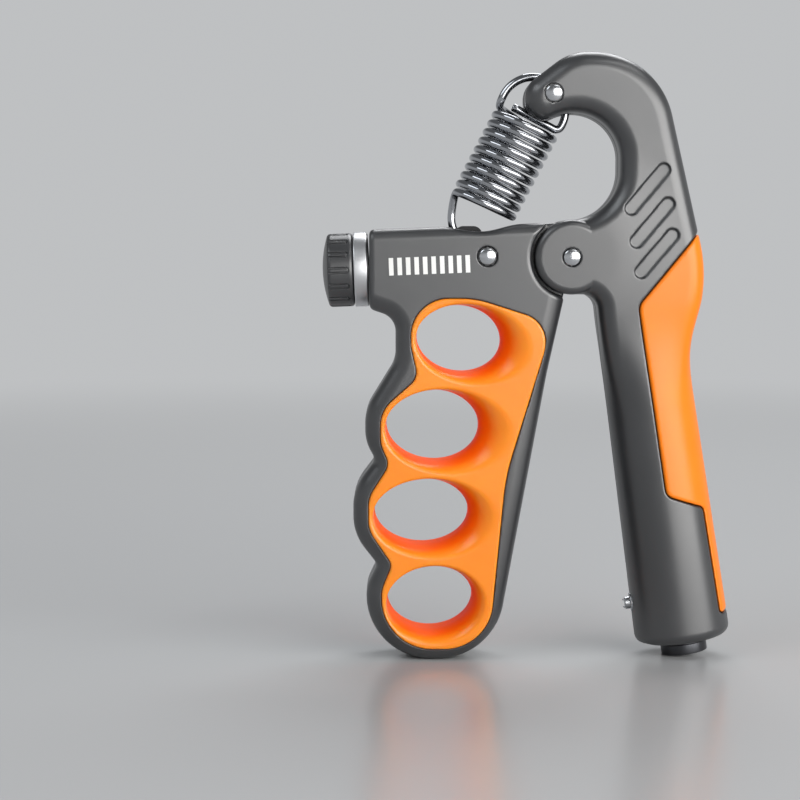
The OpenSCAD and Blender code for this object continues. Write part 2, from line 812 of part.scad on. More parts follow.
// One half shell of the palm side: side -1 is the front, 1 the rear
module palm_shell(side) {
    difference() {
        freeform() difference() {
            union() {
                palm_form(side);
                mirror_rear(side) rod_y(0, 0, cheek_r, cheek_gap, cheek_t / 2);
            }
            rod_y(0, 0, socket_r - 0.3, -cheek_gap, cheek_gap);
            // Seat of the grip pad
            difference() {
                plate(outline(pad_outline), -30, 30);
                palm_form(side, pad_t);
            }
            // Slot of the spring loop
            rod_y(head_loop[0], head_loop[1], head_loop_r + wire_d / 2 + 0.5,
                -tip_slot_half, tip_slot_half);
            for (r = recesses) slanted_recess(r[0], r[1]);
            screw_holes(palm_bosses, palm_screw_y, grip_r);
        }
        rod_y(0, 0, pivot_r + run_fit, -cheek_t, cheek_t);
        head_seats(0, 0, cheek_t / 2);
        rod_y(head_pin[0], head_pin[1], hook_pin_r + run_fit, -hook_t, hook_t);
        head_seats(head_pin[0], head_pin[1], hook_t / 2);
        counter_bay();
    }
}

// A straight recess with round ends, on both faces
module slanted_recess(p, q) {
    for (s = [-1, 1]) {
        y0 = s > 0 ? hook_t / 2 - recess_depth : -hook_t / 2 - over;
        y1 = y0 + recess_depth + over;
        rod_y(p[0], p[1], recess_r, y0, y1);
        rod_y(q[0], q[1], recess_r, y0, y1);
        side = recess_r * [unit(q - p)[1], -unit(q - p)[0]];
        plate([p + side, q + side, q - side, p - side], y0, y1);
    }
}

module palm_shell_front() {
    color("#3b3c3e") placed() palm_shell(-1);
}

module palm_shell_rear() {
    color("#3b3c3e") placed() palm_shell(1);
}

module grip_pad() {
    color("#f5801f") placed() freeform() difference() {
        intersection() {
            union() {
                palm_form(-1);
                palm_form(1);
            }
            plate(outline(pad_outline, side_fit), -30, 30);
        }
        union() {
            palm_form(-1, pad_t - side_fit);
            palm_form(1, pad_t - side_fit);
        }
    }
}

module palm_screws() {
    color("#8d8f92") placed() for (p = palm_bosses)
        case_screw(p[0], p[1], palm_screw_y, screw_tip_y);
}

module spring_pin() {
    color("#d9dadb") placed()
        domed_pin(head_pin[0], head_pin[1], hook_pin_r, hook_t / 2 - head_recess, pin_head_r, pin_dome);
}

// ---------- Counter ----------

axle_r = 1.2;
plate_t = 1;
plate_gap = 0.4;
frame_r = bay_r - run_fit;
post_x = 6.1;
post_w = 5.6;
spring_seat_x = -4.2;
spring_seat_w = 4.4;
axle_low = bay_low + 1.6;

function wheel_base(k) = counter_low + k * (wheel_w + wheel_gap);

frame_low = counter_low - plate_gap - plate_t;
frame_top = wheel_base(3) + plate_t;

// Frame that carries the axle: two round plates, two posts and a seat for the plunger spring
module counter_frame() {
    color("#232426") placed() on_grip() difference() {
        union() {
            translate([0, 0, frame_low]) cylinder(r = frame_r, h = plate_t);
            translate([0, 0, wheel_base(3)]) cylinder(r = frame_r, h = plate_t);
            for (s = [-1, 1]) translate([s * (post_x + plate_t / 2) - plate_t / 2, -post_w / 2, frame_low])
                cube([plate_t, post_w, frame_top - frame_low]);
            translate([spring_seat_x, -spring_seat_w / 2, plunger_z - plunger_d / 2 - 0.4])
                cube([plate_t, spring_seat_w, frame_low - plunger_z + plunger_d / 2 + 0.9]);
        }
        cylinder(r = axle_r + run_fit, h = 2 * bay_top);
    }
}

module counter_axle() {
    color("#b8babd") placed() on_grip() translate([0, 0, axle_low])
        cylinder(r = axle_r, h = frame_top + 1.2 - axle_low);
}

// One digit wheel with ten shallow notches
module digit_wheel(k) {
    notch_r = 0.8;
    color("#efeeea") placed() on_grip() translate([0, 0, wheel_base(k)]) difference() {
        cylinder(r = wheel_r, h = wheel_w);
        translate([0, 0, -over]) cylinder(r = axle_r + run_fit, h = wheel_w + 2 * over);
        for (n = [0:9]) rotate([0, 0, 36 * n]) translate([wheel_r + 0.5, 0, -over])
            cylinder(r = notch_r, h = wheel_w + 2 * over, $fn = 16);
    }
}

module units_wheel() {
    digit_wheel(0);
}

module tens_wheel() {
    digit_wheel(1);
}

module hundreds_wheel() {
    digit_wheel(2);
}

// Clear lens over the digits
module counter_window() {
    lens_depth = 1.1;
    color("#aab7bd") placed() on_grip() translate([-window_h / 2, bay_r + 0.1, counter_low + 0.1])
        cube([window_h, grip_r - bay_r - 0.1 - lens_depth, window_w]);
}

// Inner end of the plunger, and the flange that keeps it in
plunger_end = -7.4;
flange_r = 2.3;
flange_t = 1;
collar_x = -grip_r + 0.9;
collar_len = 2.4;

module plunger() {
    color("#c4c6c8") placed() on_grip() translate([plunger_end, 0, plunger_z]) rotate([0, -90, 0]) {
        cylinder(r = plunger_d / 2, h = grip_r - 0.4 + plunger_out + plunger_end);
        cylinder(r = flange_r, h = flange_t);
    }
}

module plunger_collar() {
    color("#7d7f82") placed() on_grip() translate([collar_x, 0, plunger_z]) rotate([0, 90, 0])
        difference() {
            cylinder(r = collar_r, h = collar_len);
            translate([0, 0, -over]) cylinder(r = plunger_d / 2 + run_fit, h = collar_len + 2 * over);
        }
}

module plunger_spring() {
    spring_wall = 0.4;
    spring_len = spring_seat_x - plunger_end;
    color("#b8babd") placed() on_grip() translate([plunger_end, 0, plunger_z]) rotate([0, 90, 0])
        difference() {
            cylinder(r = plunger_d / 2, h = spring_len);
            translate([0, 0, -over])
                cylinder(r = plunger_d / 2 - spring_wall, h = spring_len + 2 * over);
        }
}

reset_gap = 0.3;
reset_len = (grip_foot[1] - base_z - reset_d / 2 * sin(grip_tilt)) / cos(grip_tilt);

// Reset knob under the handle, with its shaft
module reset_knob() {
    color("#2a2b2d") placed() on_grip() {
        translate([0, 0, -reset_len]) cylinder(r = reset_d / 2, h = reset_len - reset_gap);
        translate([0, 0, -reset_gap]) cylinder(r = reset_shaft_r, h = axle_low + reset_gap);
    }
}

finger_shell_front();
finger_shell_rear();
finger_insert();
finger_screws();
pivot_pin();
pivot_washers();
end_bush();
thrust_block();
scale_rivet();
scale_bars_print();
adjuster_knob();
knob_ring();
adjuster_screw();
screw_clip();
spring_carriage();
carriage_pin();
tension_spring();
palm_shell_front();
palm_shell_rear();
grip_pad();
palm_screws();
spring_pin();
counter_frame();
counter_axle();
units_wheel();
tens_wheel();
hundreds_wheel();
counter_window();
plunger();
plunger_spring();
plunger_collar();
reset_knob();
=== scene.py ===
"""Hand grip strengthener: two handles, soft insert and pad, spring, adjuster and counter."""

import json
import math

import bmesh
import bpy
import numpy as np
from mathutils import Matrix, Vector

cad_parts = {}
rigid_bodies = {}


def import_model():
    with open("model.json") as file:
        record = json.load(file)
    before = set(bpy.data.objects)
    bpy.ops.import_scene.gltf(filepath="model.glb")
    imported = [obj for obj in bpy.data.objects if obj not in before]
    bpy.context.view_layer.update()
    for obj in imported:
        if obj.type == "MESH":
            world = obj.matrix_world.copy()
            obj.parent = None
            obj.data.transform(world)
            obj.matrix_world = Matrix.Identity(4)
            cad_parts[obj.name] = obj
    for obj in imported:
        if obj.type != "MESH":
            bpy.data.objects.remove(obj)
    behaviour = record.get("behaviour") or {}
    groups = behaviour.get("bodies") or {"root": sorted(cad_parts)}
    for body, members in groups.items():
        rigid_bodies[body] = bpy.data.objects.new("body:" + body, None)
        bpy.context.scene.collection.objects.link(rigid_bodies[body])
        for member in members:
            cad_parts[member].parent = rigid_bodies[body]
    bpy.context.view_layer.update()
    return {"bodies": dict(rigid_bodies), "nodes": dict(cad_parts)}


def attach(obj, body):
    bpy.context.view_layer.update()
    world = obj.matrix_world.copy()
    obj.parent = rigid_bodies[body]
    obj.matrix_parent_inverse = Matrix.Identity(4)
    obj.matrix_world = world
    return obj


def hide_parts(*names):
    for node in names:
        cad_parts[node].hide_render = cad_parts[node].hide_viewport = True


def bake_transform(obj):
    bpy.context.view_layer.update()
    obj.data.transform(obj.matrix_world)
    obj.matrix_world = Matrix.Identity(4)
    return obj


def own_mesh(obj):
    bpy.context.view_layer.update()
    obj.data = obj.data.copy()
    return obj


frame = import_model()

# Sizes are in millimetres from the squeeze pivot: x towards the palm, y to the rear, z up.
PIVOT = np.array([11.25, 0.0, 107.7])
COARSENESS = 1.0
scene = bpy.context.scene


def in_frame(points):
    """Points in the shared frame, in metres."""
    return (np.asarray(points, float) + PIVOT) / 1000


# ---------- Shader nodes ----------


def node(tree, kind, inputs=(), give=0, **values):
    """One output of a new node, whose inputs are linked to sockets or set to values."""
    made = tree.nodes.new("ShaderNode" + kind)
    for label, value in values.items():
        setattr(made, label, value)
    for key, source in dict(inputs).items():
        if isinstance(source, bpy.types.NodeSocket):
            tree.links.new(source, made.inputs[key])
        else:
            made.inputs[key].default_value = source
    return made.outputs[give]


def calc(tree, operation, *sources):
    """The result of a Math node."""
    return node(tree, "Math", enumerate(sources), operation=operation)


def eased(tree, value, start, end):
    """0 where value is below start, 1 where it is over end, eased between."""
    limits = {"Value": value, "From Min": start, "From Max": end}
    return node(tree, "MapRange", limits, interpolation_type="SMOOTHSTEP")


def mixed(tree, share, first, second):
    """A colour between two. Inputs 6 and 7 and output 2 of a Mix node are its colours."""
    return node(tree, "Mix", {0: share, 6: first, 7: second}, give=2, data_type="RGBA")


def new_material(name, **sockets):
    """A material, its tree and its shader, with values set on the shader's sockets."""
    material = bpy.data.materials.new(name)
    material.use_nodes = True
    shader = material.node_tree.nodes["Principled BSDF"]
    for label, value in sockets.items():
        shader.inputs[label.replace("_", " ")].default_value = value
    return material, material.node_tree, shader


# ---------- Camera, floor and light ----------

VIEW_CENTRE = Vector((-0.03415, 0.0, 0.0692))
VIEW_DISTANCE = 0.6
VIEW_ELEVATION = 4
LIT_POINT = Vector((0, 0, 0.09))
BACKGROUND = (0.52, 0.53, 0.54, 1)
CEILING = (0.16, 0.165, 0.17, 1)
CEILING_FADE = (0.12, 0.5)
AMBIENT = (0.93, 0.96, 1.0, 1)
AMBIENT_STRENGTH = 0.12
FLOOR_COLOUR = (0.5, 0.505, 0.51, 1)
FLOOR_RADIUS = 4
FLOOR_SIDES = 64
FLOOR_FADE = (0.25, 1.3)


def way_out(azimuth, elevation):
    """The way out to a camera or lamp. Azimuth 0 is the front, 90 the palm side."""
    turn, lift = math.radians(azimuth), math.radians(elevation)
    level = math.cos(lift)
    return Vector((math.sin(turn) * level, -math.cos(turn) * level, math.sin(lift)))


def new_object(name, data):
    """A new object in the scene."""
    obj = bpy.data.objects.new(name, data)
    scene.collection.objects.link(obj)
    return obj


def aimed(name, data, place, target):
    """A camera or lamp at place, looking at target."""
    obj = new_object(name, data)
    obj.location = place
    obj.rotation_euler = (target - place).to_track_quat("-Z", "Y").to_euler()
    return obj


camera_data = bpy.data.cameras.new("camera")
camera_data.lens = 100
camera_data.clip_start = 0.01
view_place = VIEW_CENTRE + VIEW_DISTANCE * way_out(0, VIEW_ELEVATION)
scene.camera = aimed("camera", camera_data, view_place, VIEW_CENTRE)
scene.view_settings.view_transform = "Standard"


def softbox(name, azimuth, elevation, distance, width, height, power, colour):
    """A rectangular lamp aimed at the middle of the object."""
    lamp = bpy.data.lights.new(name, "AREA")
    lamp.shape = "RECTANGLE"
    lamp.size = width
    lamp.size_y = height
    lamp.energy = power
    lamp.color = colour
    return aimed(name, lamp, LIT_POINT + distance * way_out(azimuth, elevation), LIT_POINT)


lamps = [
    softbox("front key softbox", 38, 8, 1.0, 1.3, 0.8, 18.0, (1.0, 0.99, 0.975)),
    softbox("upper left fill", -58, 42, 0.9, 0.6, 0.35, 1.7, (0.92, 0.96, 1.0)),
    softbox("top rear softbox", 165, 50, 1.0, 0.6, 0.5, 5.5, (0.97, 0.98, 1.0)),
    softbox("upper right strip", 50, 58, 1.0, 0.8, 0.15, 1.5, (1.0, 1.0, 1.0)),
]


def light_path_mask(tree):
    """A value of 1 for the rays that see the pale background."""
    path = tree.nodes.new("ShaderNodeLightPath").outputs
    seen = calc(tree, "MAXIMUM", path["Is Camera Ray"], path["Is Glossy Ray"])
    return calc(tree, "MAXIMUM", seen, path["Is Transmission Ray"])


def build_world():
    """A weak plain light, seen as pale at the horizon and darker overhead."""
    world = bpy.data.worlds.new("studio")
    scene.world = world
    world.use_nodes = True
    tree = world.node_tree
    tree.nodes.clear()
    way = node(tree, "TexCoord", give="Generated")
    height = node(tree, "SeparateXYZ", {0: way}, give="Z")
    colour = mixed(tree, eased(tree, height, *CEILING_FADE), BACKGROUND, CEILING)
    light = node(tree, "MixShader", {
        0: light_path_mask(tree),
        1: node(tree, "Background", {"Color": AMBIENT, "Strength": AMBIENT_STRENGTH}),
        2: node(tree, "Background", {"Color": colour}),
    })
    tree.links.new(light, tree.nodes.new("ShaderNodeOutputWorld").inputs["Surface"])


def build_floor():
    """A wide pale floor whose far part has the colour of the background."""
    mesh = bpy.data.meshes.new("floor")
    rim = [
        (FLOOR_RADIUS * math.cos(a), FLOOR_RADIUS * math.sin(a), 0)
        for a in np.linspace(0, 2 * math.pi, FLOOR_SIDES + 1)[:-1]
    ]
    mesh.from_pydata(rim, [], [list(range(FLOOR_SIDES))])
    floor = new_object("floor", mesh)
    material, tree, shader = new_material(
        "pale studio floor", Base_Color=FLOOR_COLOUR, Roughness=0.24, Specular_IOR_Level=0.45,
    )
    place = node(tree, "TexCoord", give="Object")
    reach = node(tree, "VectorMath", {0: place}, give="Value", operation="LENGTH")
    surface = node(tree, "MixShader", {
        0: calc(tree, "MULTIPLY", eased(tree, reach, *FLOOR_FADE), light_path_mask(tree)),
        1: shader.outputs[0],
        2: node(tree, "Emission", {"Color": BACKGROUND}),
    })
    tree.links.new(surface, tree.nodes["Material Output"].inputs["Surface"])
    mesh.materials.append(material)
    return floor


def light_floor_apart(floor):
    """Gives the floor its own copies of the lamps, so that none of them shines in its gloss."""
    others = bpy.data.collections.new("all but the floor")
    others.objects.link(floor)
    others.collection_objects[0].light_linking.link_state = "EXCLUDE"
    alone = bpy.data.collections.new("the floor alone")
    alone.objects.link(floor)
    for lamp in lamps:
        twin = aimed(lamp.name + " on the floor", lamp.data, lamp.location, LIT_POINT)
        twin.visible_glossy = False
        twin.light_linking.receiver_collection = alone
        lamp.light_linking.receiver_collection = others


build_world()
light_floor_apart(build_floor())

# ---------- Finishes ----------

SCREW_TILT = math.radians(2.2)
GRIP_TILT = math.radians(8.25)
PATCHES_PER_METRE = 38.0
SPECKS_PER_METRE = 1900.0
# Distances from the middle plane, in metres, where the insert's painted shade is full and where
# it has faded out at the face
PAINTED_SHADE_AT, FACE_AT = 0.0077, 0.0112
GRAIN_DEPTH = 0.00003
LINE_DEPTH = 0.00002
ROUGH = ["Roughness", "Roughness change"]


def node_group(name, **inputs):
    """A shader group's tree, and the sockets of its inputs, whose names are given by kind."""
    tree = bpy.data.node_groups.new(name, "ShaderNodeTree")
    for kind, labels in inputs.items():
        for label in labels:
            tree.interface.new_socket(label, in_out="INPUT", socket_type="NodeSocket" + kind)
    return tree, tree.nodes.new("NodeGroupInput").outputs


def with_outputs(tree, outputs):
    """The group's tree, with its outputs linked by name."""
    for label, source in outputs.items():
        kind = "Color" if source.type == "RGBA" else "Float"
        tree.interface.new_socket(label, in_out="OUTPUT", socket_type="NodeSocket" + kind)
    out = tree.nodes.new("NodeGroupOutput")
    for label, source in outputs.items():
        tree.links.new(source, out.inputs[label])
    return tree


def build_grain():
    """Fine spark-eroded mould grain, as a height."""
    tree, given = node_group("mould grain", Float=["Grains per metre"])
    place = node(tree, "TexCoord", give="Object")
    placed = {"Vector": place, "Scale": given["Grains per metre"]}
    cells = node(tree, "TexVoronoi", placed, give="Distance", feature="SMOOTH_F1")
    fine = node(tree, "TexNoise", {**placed, "Detail": 3.0})
    return with_outputs(tree, {"Height": calc(tree, "ADD", cells, fine)})


def build_handling():
    """Soft patches of handling and a little dust: changes a colour and a roughness."""
    tree, given = node_group("handling marks", Color=["Colour", "Worn colour"], Float=ROUGH)
    place = node(tree, "TexCoord", give="Object")
    patches = node(tree, "TexNoise", {
        "Vector": place, "Scale": PATCHES_PER_METRE, "Detail": 4.0, "Roughness": 0.62,
    })
    share = eased(tree, patches, 0.38, 0.72)
    specks = node(tree, "TexNoise", {"Vector": place, "Scale": SPECKS_PER_METRE, "Detail": 1.0})
    dust = node(tree, "MapRange", {"Value": specks, "From Min": 0.7, "From Max": 0.86})
    worn = calc(tree, "ADD", share, dust)
    change, rough = given["Roughness change"], given["Roughness"]
    return with_outputs(tree, {
        "Colour": mixed(tree, worn, given["Colour"], given["Worn colour"]),
        "Roughness": calc(tree, "MULTIPLY_ADD", share, change, rough),
    })


def build_depth_tint():
    """Painted shade: a colour that changes from the face of a piece to a darker, redder one at
    its middle plane, for the shaded walls of the finger holes.
    """
    tree, given = node_group("painted hole shade", Color=["Face colour", "Painted shade colour"])
    place = node(tree, "TexCoord", give="Object")
    depth = calc(tree, "ABSOLUTE", node(tree, "SeparateXYZ", {0: place}, give="Y"))
    share = eased(tree, depth, PAINTED_SHADE_AT, FACE_AT)
    return with_outputs(tree, {
        "Colour": mixed(tree, share, given["Painted shade colour"], given["Face colour"]),
        "Face share": share,
    })


def build_brushing():
    """Fine turned or drawn lines round or along a metal piece, as a height and a roughness."""
    tree, given = node_group("brushed lines", Vector=["Stretch", "Tilt"], Float=ROUGH)
    place = node(tree, "TexCoord", give="Object")
    upright = node(
        tree, "VectorRotate", {"Vector": place, "Rotation": given["Tilt"]},
        rotation_type="EULER_XYZ",
    )
    stretched = node(tree, "VectorMath", {0: upright, 1: given["Stretch"]}, operation="MULTIPLY")
    lines = node(tree, "TexNoise", {
        "Vector": stretched, "Scale": 1.0, "Detail": 5.0, "Roughness": 0.7,
    })
    change, rough = given["Roughness change"], given["Roughness"]
    return with_outputs(tree, {
        "Height": lines,
        "Roughness": calc(tree, "MULTIPLY_ADD", lines, change, rough),
    })


MOULD_GRAIN = build_grain()
HANDLING_MARKS = build_handling()
PAINTED_HOLE_SHADE = build_depth_tint()
BRUSHED_LINES = build_brushing()


def screen(colour):
    """A colour given as 0-255 screen values, as the shader wants it."""
    return tuple(
        c / 3294.6 if c <= 10 else ((c / 255 + 0.055) / 1.055) ** 2.4 for c in colour
    ) + (1,)


def placed_group(tree, group, inputs):
    """A node of a group, with its inputs set."""
    return node(tree, "Group", inputs, node_tree=group).node


def bump(tree, shader, height, strength, depth):
    """Gives a shader its relief."""
    normal = node(tree, "Bump", {"Strength": strength, "Distance": depth, "Height": height})
    tree.links.new(normal, shader.inputs["Normal"])


def moulded(name, colour, worn, roughness, change, grains, strength, painted_deep_shade=None, **sockets):
    """A moulded plastic or rubber with grain and handling marks, and, where given, painted shade
    that makes its colour darker and redder towards its middle plane.
    """
    material, tree, shader = new_material(name, **sockets)
    colour, worn = screen(colour), screen(worn)
    marks = placed_group(tree, HANDLING_MARKS, {
        "Colour": colour, "Worn colour": worn, "Roughness": roughness, "Roughness change": change,
    })
    # Painted shade: the colour turns darker and redder inside the finger holes, standing in for
    # their shaded walls
    if painted_deep_shade:
        for label, face in (("Colour", colour), ("Worn colour", worn)):
            colours = {"Face colour": face, "Painted shade colour": screen(painted_deep_shade)}
            tint = placed_group(tree, PAINTED_HOLE_SHADE, colours)
            tree.links.new(tint.outputs["Colour"], marks.inputs[label])
        # The glossy skin is worn off inside the holes
        tree.links.new(tint.outputs["Face share"], shader.inputs["Coat Weight"])
    grain = placed_group(tree, MOULD_GRAIN, {"Grains per metre": grains})
    tree.links.new(marks.outputs["Colour"], shader.inputs["Base Color"])
    tree.links.new(marks.outputs["Roughness"], shader.inputs["Roughness"])
    bump(tree, shader, grain.outputs["Height"], strength, GRAIN_DEPTH)
    return material


def metal(name, colour, roughness, change, stretch, strength, tilt=0.0):
    """A metal finish with fine working lines."""
    material, tree, shader = new_material(name, Base_Color=screen(colour), Metallic=1.0)
    lines = placed_group(tree, BRUSHED_LINES, {
        "Stretch": stretch, "Tilt": (0.0, tilt, 0.0),
        "Roughness": roughness, "Roughness change": change,
    })
    tree.links.new(lines.outputs["Roughness"], shader.inputs["Roughness"])
    bump(tree, shader, lines.outputs["Height"], strength, LINE_DEPTH)
    return material


charcoal_plastic = moulded(
    "charcoal moulded plastic", (42, 43, 45), (48, 49, 51), 0.33, 0.05, 3200, 0.10,
    Specular_IOR_Level=1.0, IOR=1.54,
)
knob_plastic = moulded(
    "dark knob plastic", (40, 41, 43), (46, 47, 49), 0.34, 0.06, 3400, 0.12,
    Specular_IOR_Level=1.0,
)
# Its inner colour is painted shade on the walls of the finger holes
insert_rubber = moulded(
    "soft orange insert rubber", (248, 138, 22), (250, 144, 30), 0.5, 0.05, 3800, 0.10,
    painted_deep_shade=(252, 100, 0), Specular_IOR_Level=0.1, Coat_Roughness=0.26, Coat_IOR=1.5,
    Subsurface_Weight=0.3, Subsurface_Radius=(1.0, 0.35, 0.08), Subsurface_Scale=0.004,
)
pad_rubber = moulded(
    "soft orange pad rubber", (248, 126, 6), (250, 132, 12), 0.34, 0.05, 3800, 0.10,
    Specular_IOR_Level=0.45,
)
nylon_plastic = moulded("white nylon", (226, 224, 214), (214, 212, 202), 0.45, 0.08, 2500, 0.08)
counter_plastic = moulded("black counter frame", (30, 31, 33), (40, 41, 43), 0.5, 0.1, 2600, 0.12)
scale_paint = moulded(
    "white scale print", (240, 240, 238), (230, 230, 228), 0.48, 0.08, 5200, 0.14,
    Specular_IOR_Level=0.2,
)
digit_ink = moulded("black digit ink", (24, 24, 26), (34, 34, 36), 0.5, 0.1, 5200, 0.1)
wheel_plastic = moulded(
    "white digit wheel", (238, 237, 232), (228, 227, 222), 0.42, 0.06, 3000, 0.06,
)
# Near black: on the carriage in the hollow under the coil this is painted shade
dark_steel = moulded(
    "near black steel", (20, 20, 22), (30, 30, 32), 0.5, 0.1, 2500, 0.1,
    Specular_IOR_Level=0.35,
)
chrome = metal("bright chrome", (170, 172, 176), 0.11, 0.03, (500, 500, 500), 0.004)
ring_steel = metal(
    "brushed ring steel", (214, 215, 217), 0.34, 0.08, (9000, 60, 60), 0.03, SCREW_TILT,
)
plain_steel = metal("plain steel", (176, 178, 181), 0.26, 0.14, (2500, 2500, 2500), 0.12)
pin_head = metal("polished pin head", (196, 198, 201), 0.15, 0.05, (500, 500, 500), 0.01)
pin_steel = metal("ground pin steel", (196, 198, 201), 0.18, 0.1, (400, 5000, 400), 0.12)
yellow_brass = metal(
    "yellow brass", (214, 172, 92), 0.24, 0.12, (5200, 300, 300), 0.15, SCREW_TILT,
)
reset_metal = metal(
    "dark turned metal", (74, 75, 78), 0.3, 0.1, (220, 220, 9000), 0.25, -GRIP_TILT,
)
clear_lens, lens_tree, lens_shader = new_material(
    "clear counter lens", Base_Color=(0.97, 0.985, 1.0, 1), Roughness=0.03, IOR=1.49,
    Transmission_Weight=1.0,
)
# A faint moulded ripple
ripple = placed_group(lens_tree, MOULD_GRAIN, {"Grains per metre": 420.0})
bump(lens_tree, lens_shader, ripple.outputs["Height"], 0.02, GRAIN_DEPTH)

# ---------- Shape tools ----------


def smooth(value, start, end):
    """0 before start, 1 after end, eased between."""
    share = np.clip((value - start) / (end - start), 0, 1)
    return share * share * (3 - 2 * share)


def join(a, b, k):
    """The union of two solids given as distances, with the inner edge filled over about k."""
    ease = np.maximum(k - np.abs(a - b), 0) / k
    return np.minimum(a, b) - ease * ease * k / 4


def meet(a, b, k):
    """The common part of two solids, with the edge rounded over about k."""
    return -join(-a, -b, k)


def cut(a, b, k):
    """Solid a without solid b, with the edge rounded over about k."""
    return -join(-a, b, k)


def within(value, middle, half):
    """Distance to the stretch that reaches half to each side of middle."""
    return np.abs(value - middle) - half


def from_point(x, z, place):
    """Distance to a place in x and z."""
    return np.hypot(x - place[0], z - place[1])


def slab(flat, y, half, edge):
    """An outline's distance made into a plate of half thickness half, with rounded edges."""
    side = flat + edge
    face = np.abs(y) - half + edge
    outside = np.hypot(np.maximum(side, 0), np.maximum(face, 0))
    return np.minimum(np.maximum(side, face), 0) + outside - edge


def grown_box(a, b, half_a, half_b, radius):
    """Distance to a rectangle of the given half sizes, grown all round by radius."""
    over = (np.maximum(within(v, 0, half), 0) for v, half in ((a, half_a), (b, half_b)))
    return np.hypot(*over) - radius


def unit(vector):
    """The same direction, 1 long."""
    return vector / np.linalg.norm(vector)


def tilted(dx, dz, angle):
    """Lengths along a way that is turned up from x by angle, and square to it."""
    cos, sin = math.cos(angle), math.sin(angle)
    return dx * cos + dz * sin, dz * cos - dx * sin


def from_line(x, z, start, end):
    """Distance to the line from start to end."""
    dx, dz = x - start[0], z - start[1]
    ax, az = end[0] - start[0], end[1] - start[1]
    share = np.clip((dx * ax + dz * az) / max(ax * ax + az * az, 1e-9), 0, 1)
    return np.hypot(dx - share * ax, dz - share * az)


class Outline:
    """Distance to a closed outline whose corners, as (x, z, radius), are rounded."""

    def __init__(self, corners):
        places = [np.array(c[:2], float) for c in corners]
        count = len(corners)
        area = sum(
            places[i - 1][0] * places[i][1] - places[i][0] * places[i - 1][1]
            for i in range(count)
        )
        self.turn = 1 if area > 0 else -1
        self.arcs = []
        ends = []
        for i, (_, _, radius) in enumerate(corners):
            here, before, after = places[i], places[i - 1], places[(i + 1) % count]
            back, on = unit(before - here), unit(after - here)
            half = math.acos(np.clip(back @ on, -1, 1)) / 2
            way = unit(back + on)
            reach = radius / math.tan(half)
            ends.append((here + back * reach, here + on * reach))
            bulge = (here - before)[0] * on[1] - (here - before)[1] * on[0]
            centre = here + way * radius / math.sin(half)
            self.arcs.append((centre, radius, -way, math.sin(half), bulge * self.turn > 0))
        self.lines = [(ends[i][1], ends[(i + 1) % count][0]) for i in range(count)]

    def parts(self, x, z):
        """Distance to each line and arc, and where it has the inside."""
        for start, end in self.lines:
            along = end - start
            side = along[0] * (z - start[1]) - along[1] * (x - start[0])
            yield from_line(x, z, start, end), side * self.turn > 0
        for centre, radius, way, spread, convex in self.arcs:
            dx, dz = x - centre[0], z - centre[1]
            reach = np.hypot(dx, dz)
            # The arc covers the directions within a quarter turn less half the corner's angle
            covered = dx * way[0] + dz * way[1] >= reach * spread
            yield np.where(covered, np.abs(reach - radius), 1e9), (reach < radius) == convex

    def __call__(self, x, z):
        best = np.full(np.broadcast(x, z).shape, 1e9)
        inside = np.zeros(best.shape, bool)
        for gap, here in self.parts(x, z):
            nearer = gap < best
            best = np.where(nearer, gap, best)
            inside = np.where(nearer, here, inside)
        return np.where(inside, -best, best)


def ellipse(x, z, a, b):
    """Near distance to an ellipse."""
    reach = np.hypot(x / a, z / b)
    slope = np.maximum(np.hypot(x / a**2, z / b**2), 1e-6)
    return reach * (reach - 1) / slope


def gradient(field, points, gap=0.04):
    """The field's slope at points."""
    slopes = []
    for step in np.eye(3) * gap:
        slopes.append(field(*(points + step).T) - field(*(points - step).T))
    return np.stack(slopes, 1) / (2 * gap)


def net(field, low, high, step):
    """Points, four-sided faces and normals of the surface where field is 0.

    Each grid cell that the surface crosses has a point, and each crossed grid line a face.
    """
    step = step * COARSENESS
    low = np.array(low, float)
    count = np.ceil((high - low) / step).astype(int) + 1
    x, y, z = (low[i] + step * np.arange(count[i]) for i in range(3))
    value = np.broadcast_to(field(x[:, None, None], y[None, :, None], z[None, None, :]), count)
    value = np.where(value == 0, 1e-6, value)
    cells = count - 1
    ways = np.eye(3, dtype=int)
    hits = np.zeros(int(np.prod(cells)))
    total = np.zeros((3, len(hits)))
    faces = []
    for axis in range(3):
        start, end = np.delete(value, -1, axis), np.delete(value, 0, axis)
        at = np.argwhere((start < 0) != (end < 0))
        start, end = start[tuple(at.T)], end[tuple(at.T)]
        place = at.astype(float)
        place[:, axis] += start / (start - end)
        u, v = ways[axis - 2], ways[axis - 1]
        around = []
        for du, dv in ((0, 0), (1, 0), (1, 1), (0, 1)):
            cell = at - du * u - dv * v
            good = ((cell >= 0) & (cell < cells)).all(1)
            index = np.ravel_multi_index(np.clip(cell, 0, cells - 1).T, cells)
            around.append(np.where(good, index, -1))
            for k in range(3):
                total[k] += np.bincount(index[good], place[good, k], len(hits))
            hits += np.bincount(index[good], minlength=len(hits))
        around = np.stack(around, 1)
        around[start > 0] = around[start > 0][:, ::-1]
        faces.append(around[(around >= 0).all(1)])
    used = np.flatnonzero(hits)
    number = np.full(len(hits), -1)
    number[used] = np.arange(len(used))
    points = low + step * (total[:, used] / hits[used]).T
    # The points are brought onto the surface, down the field's slope
    for _ in range(2):
        slope = gradient(field, points)
        size = np.maximum((slope * slope).sum(1), 0.05)
        move = -(field(*points.T) / size)[:, None] * slope
        points = points + np.clip(move, -0.5 * step, 0.5 * step)
    slope = gradient(field, points)
    normals = slope / np.maximum(np.linalg.norm(slope, axis=1), 1e-6)[:, None]
    return points, number[np.concatenate(faces)], normals


def finished(obj, material, body, slot_name, nodes=()):
    """Gives a piece its finish and body, and hides the CAD nodes that it stands for. slot_name is
    not used.
    """
    obj.data.materials.append(material)
    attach(obj, body)
    if nodes:
        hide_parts(*nodes)


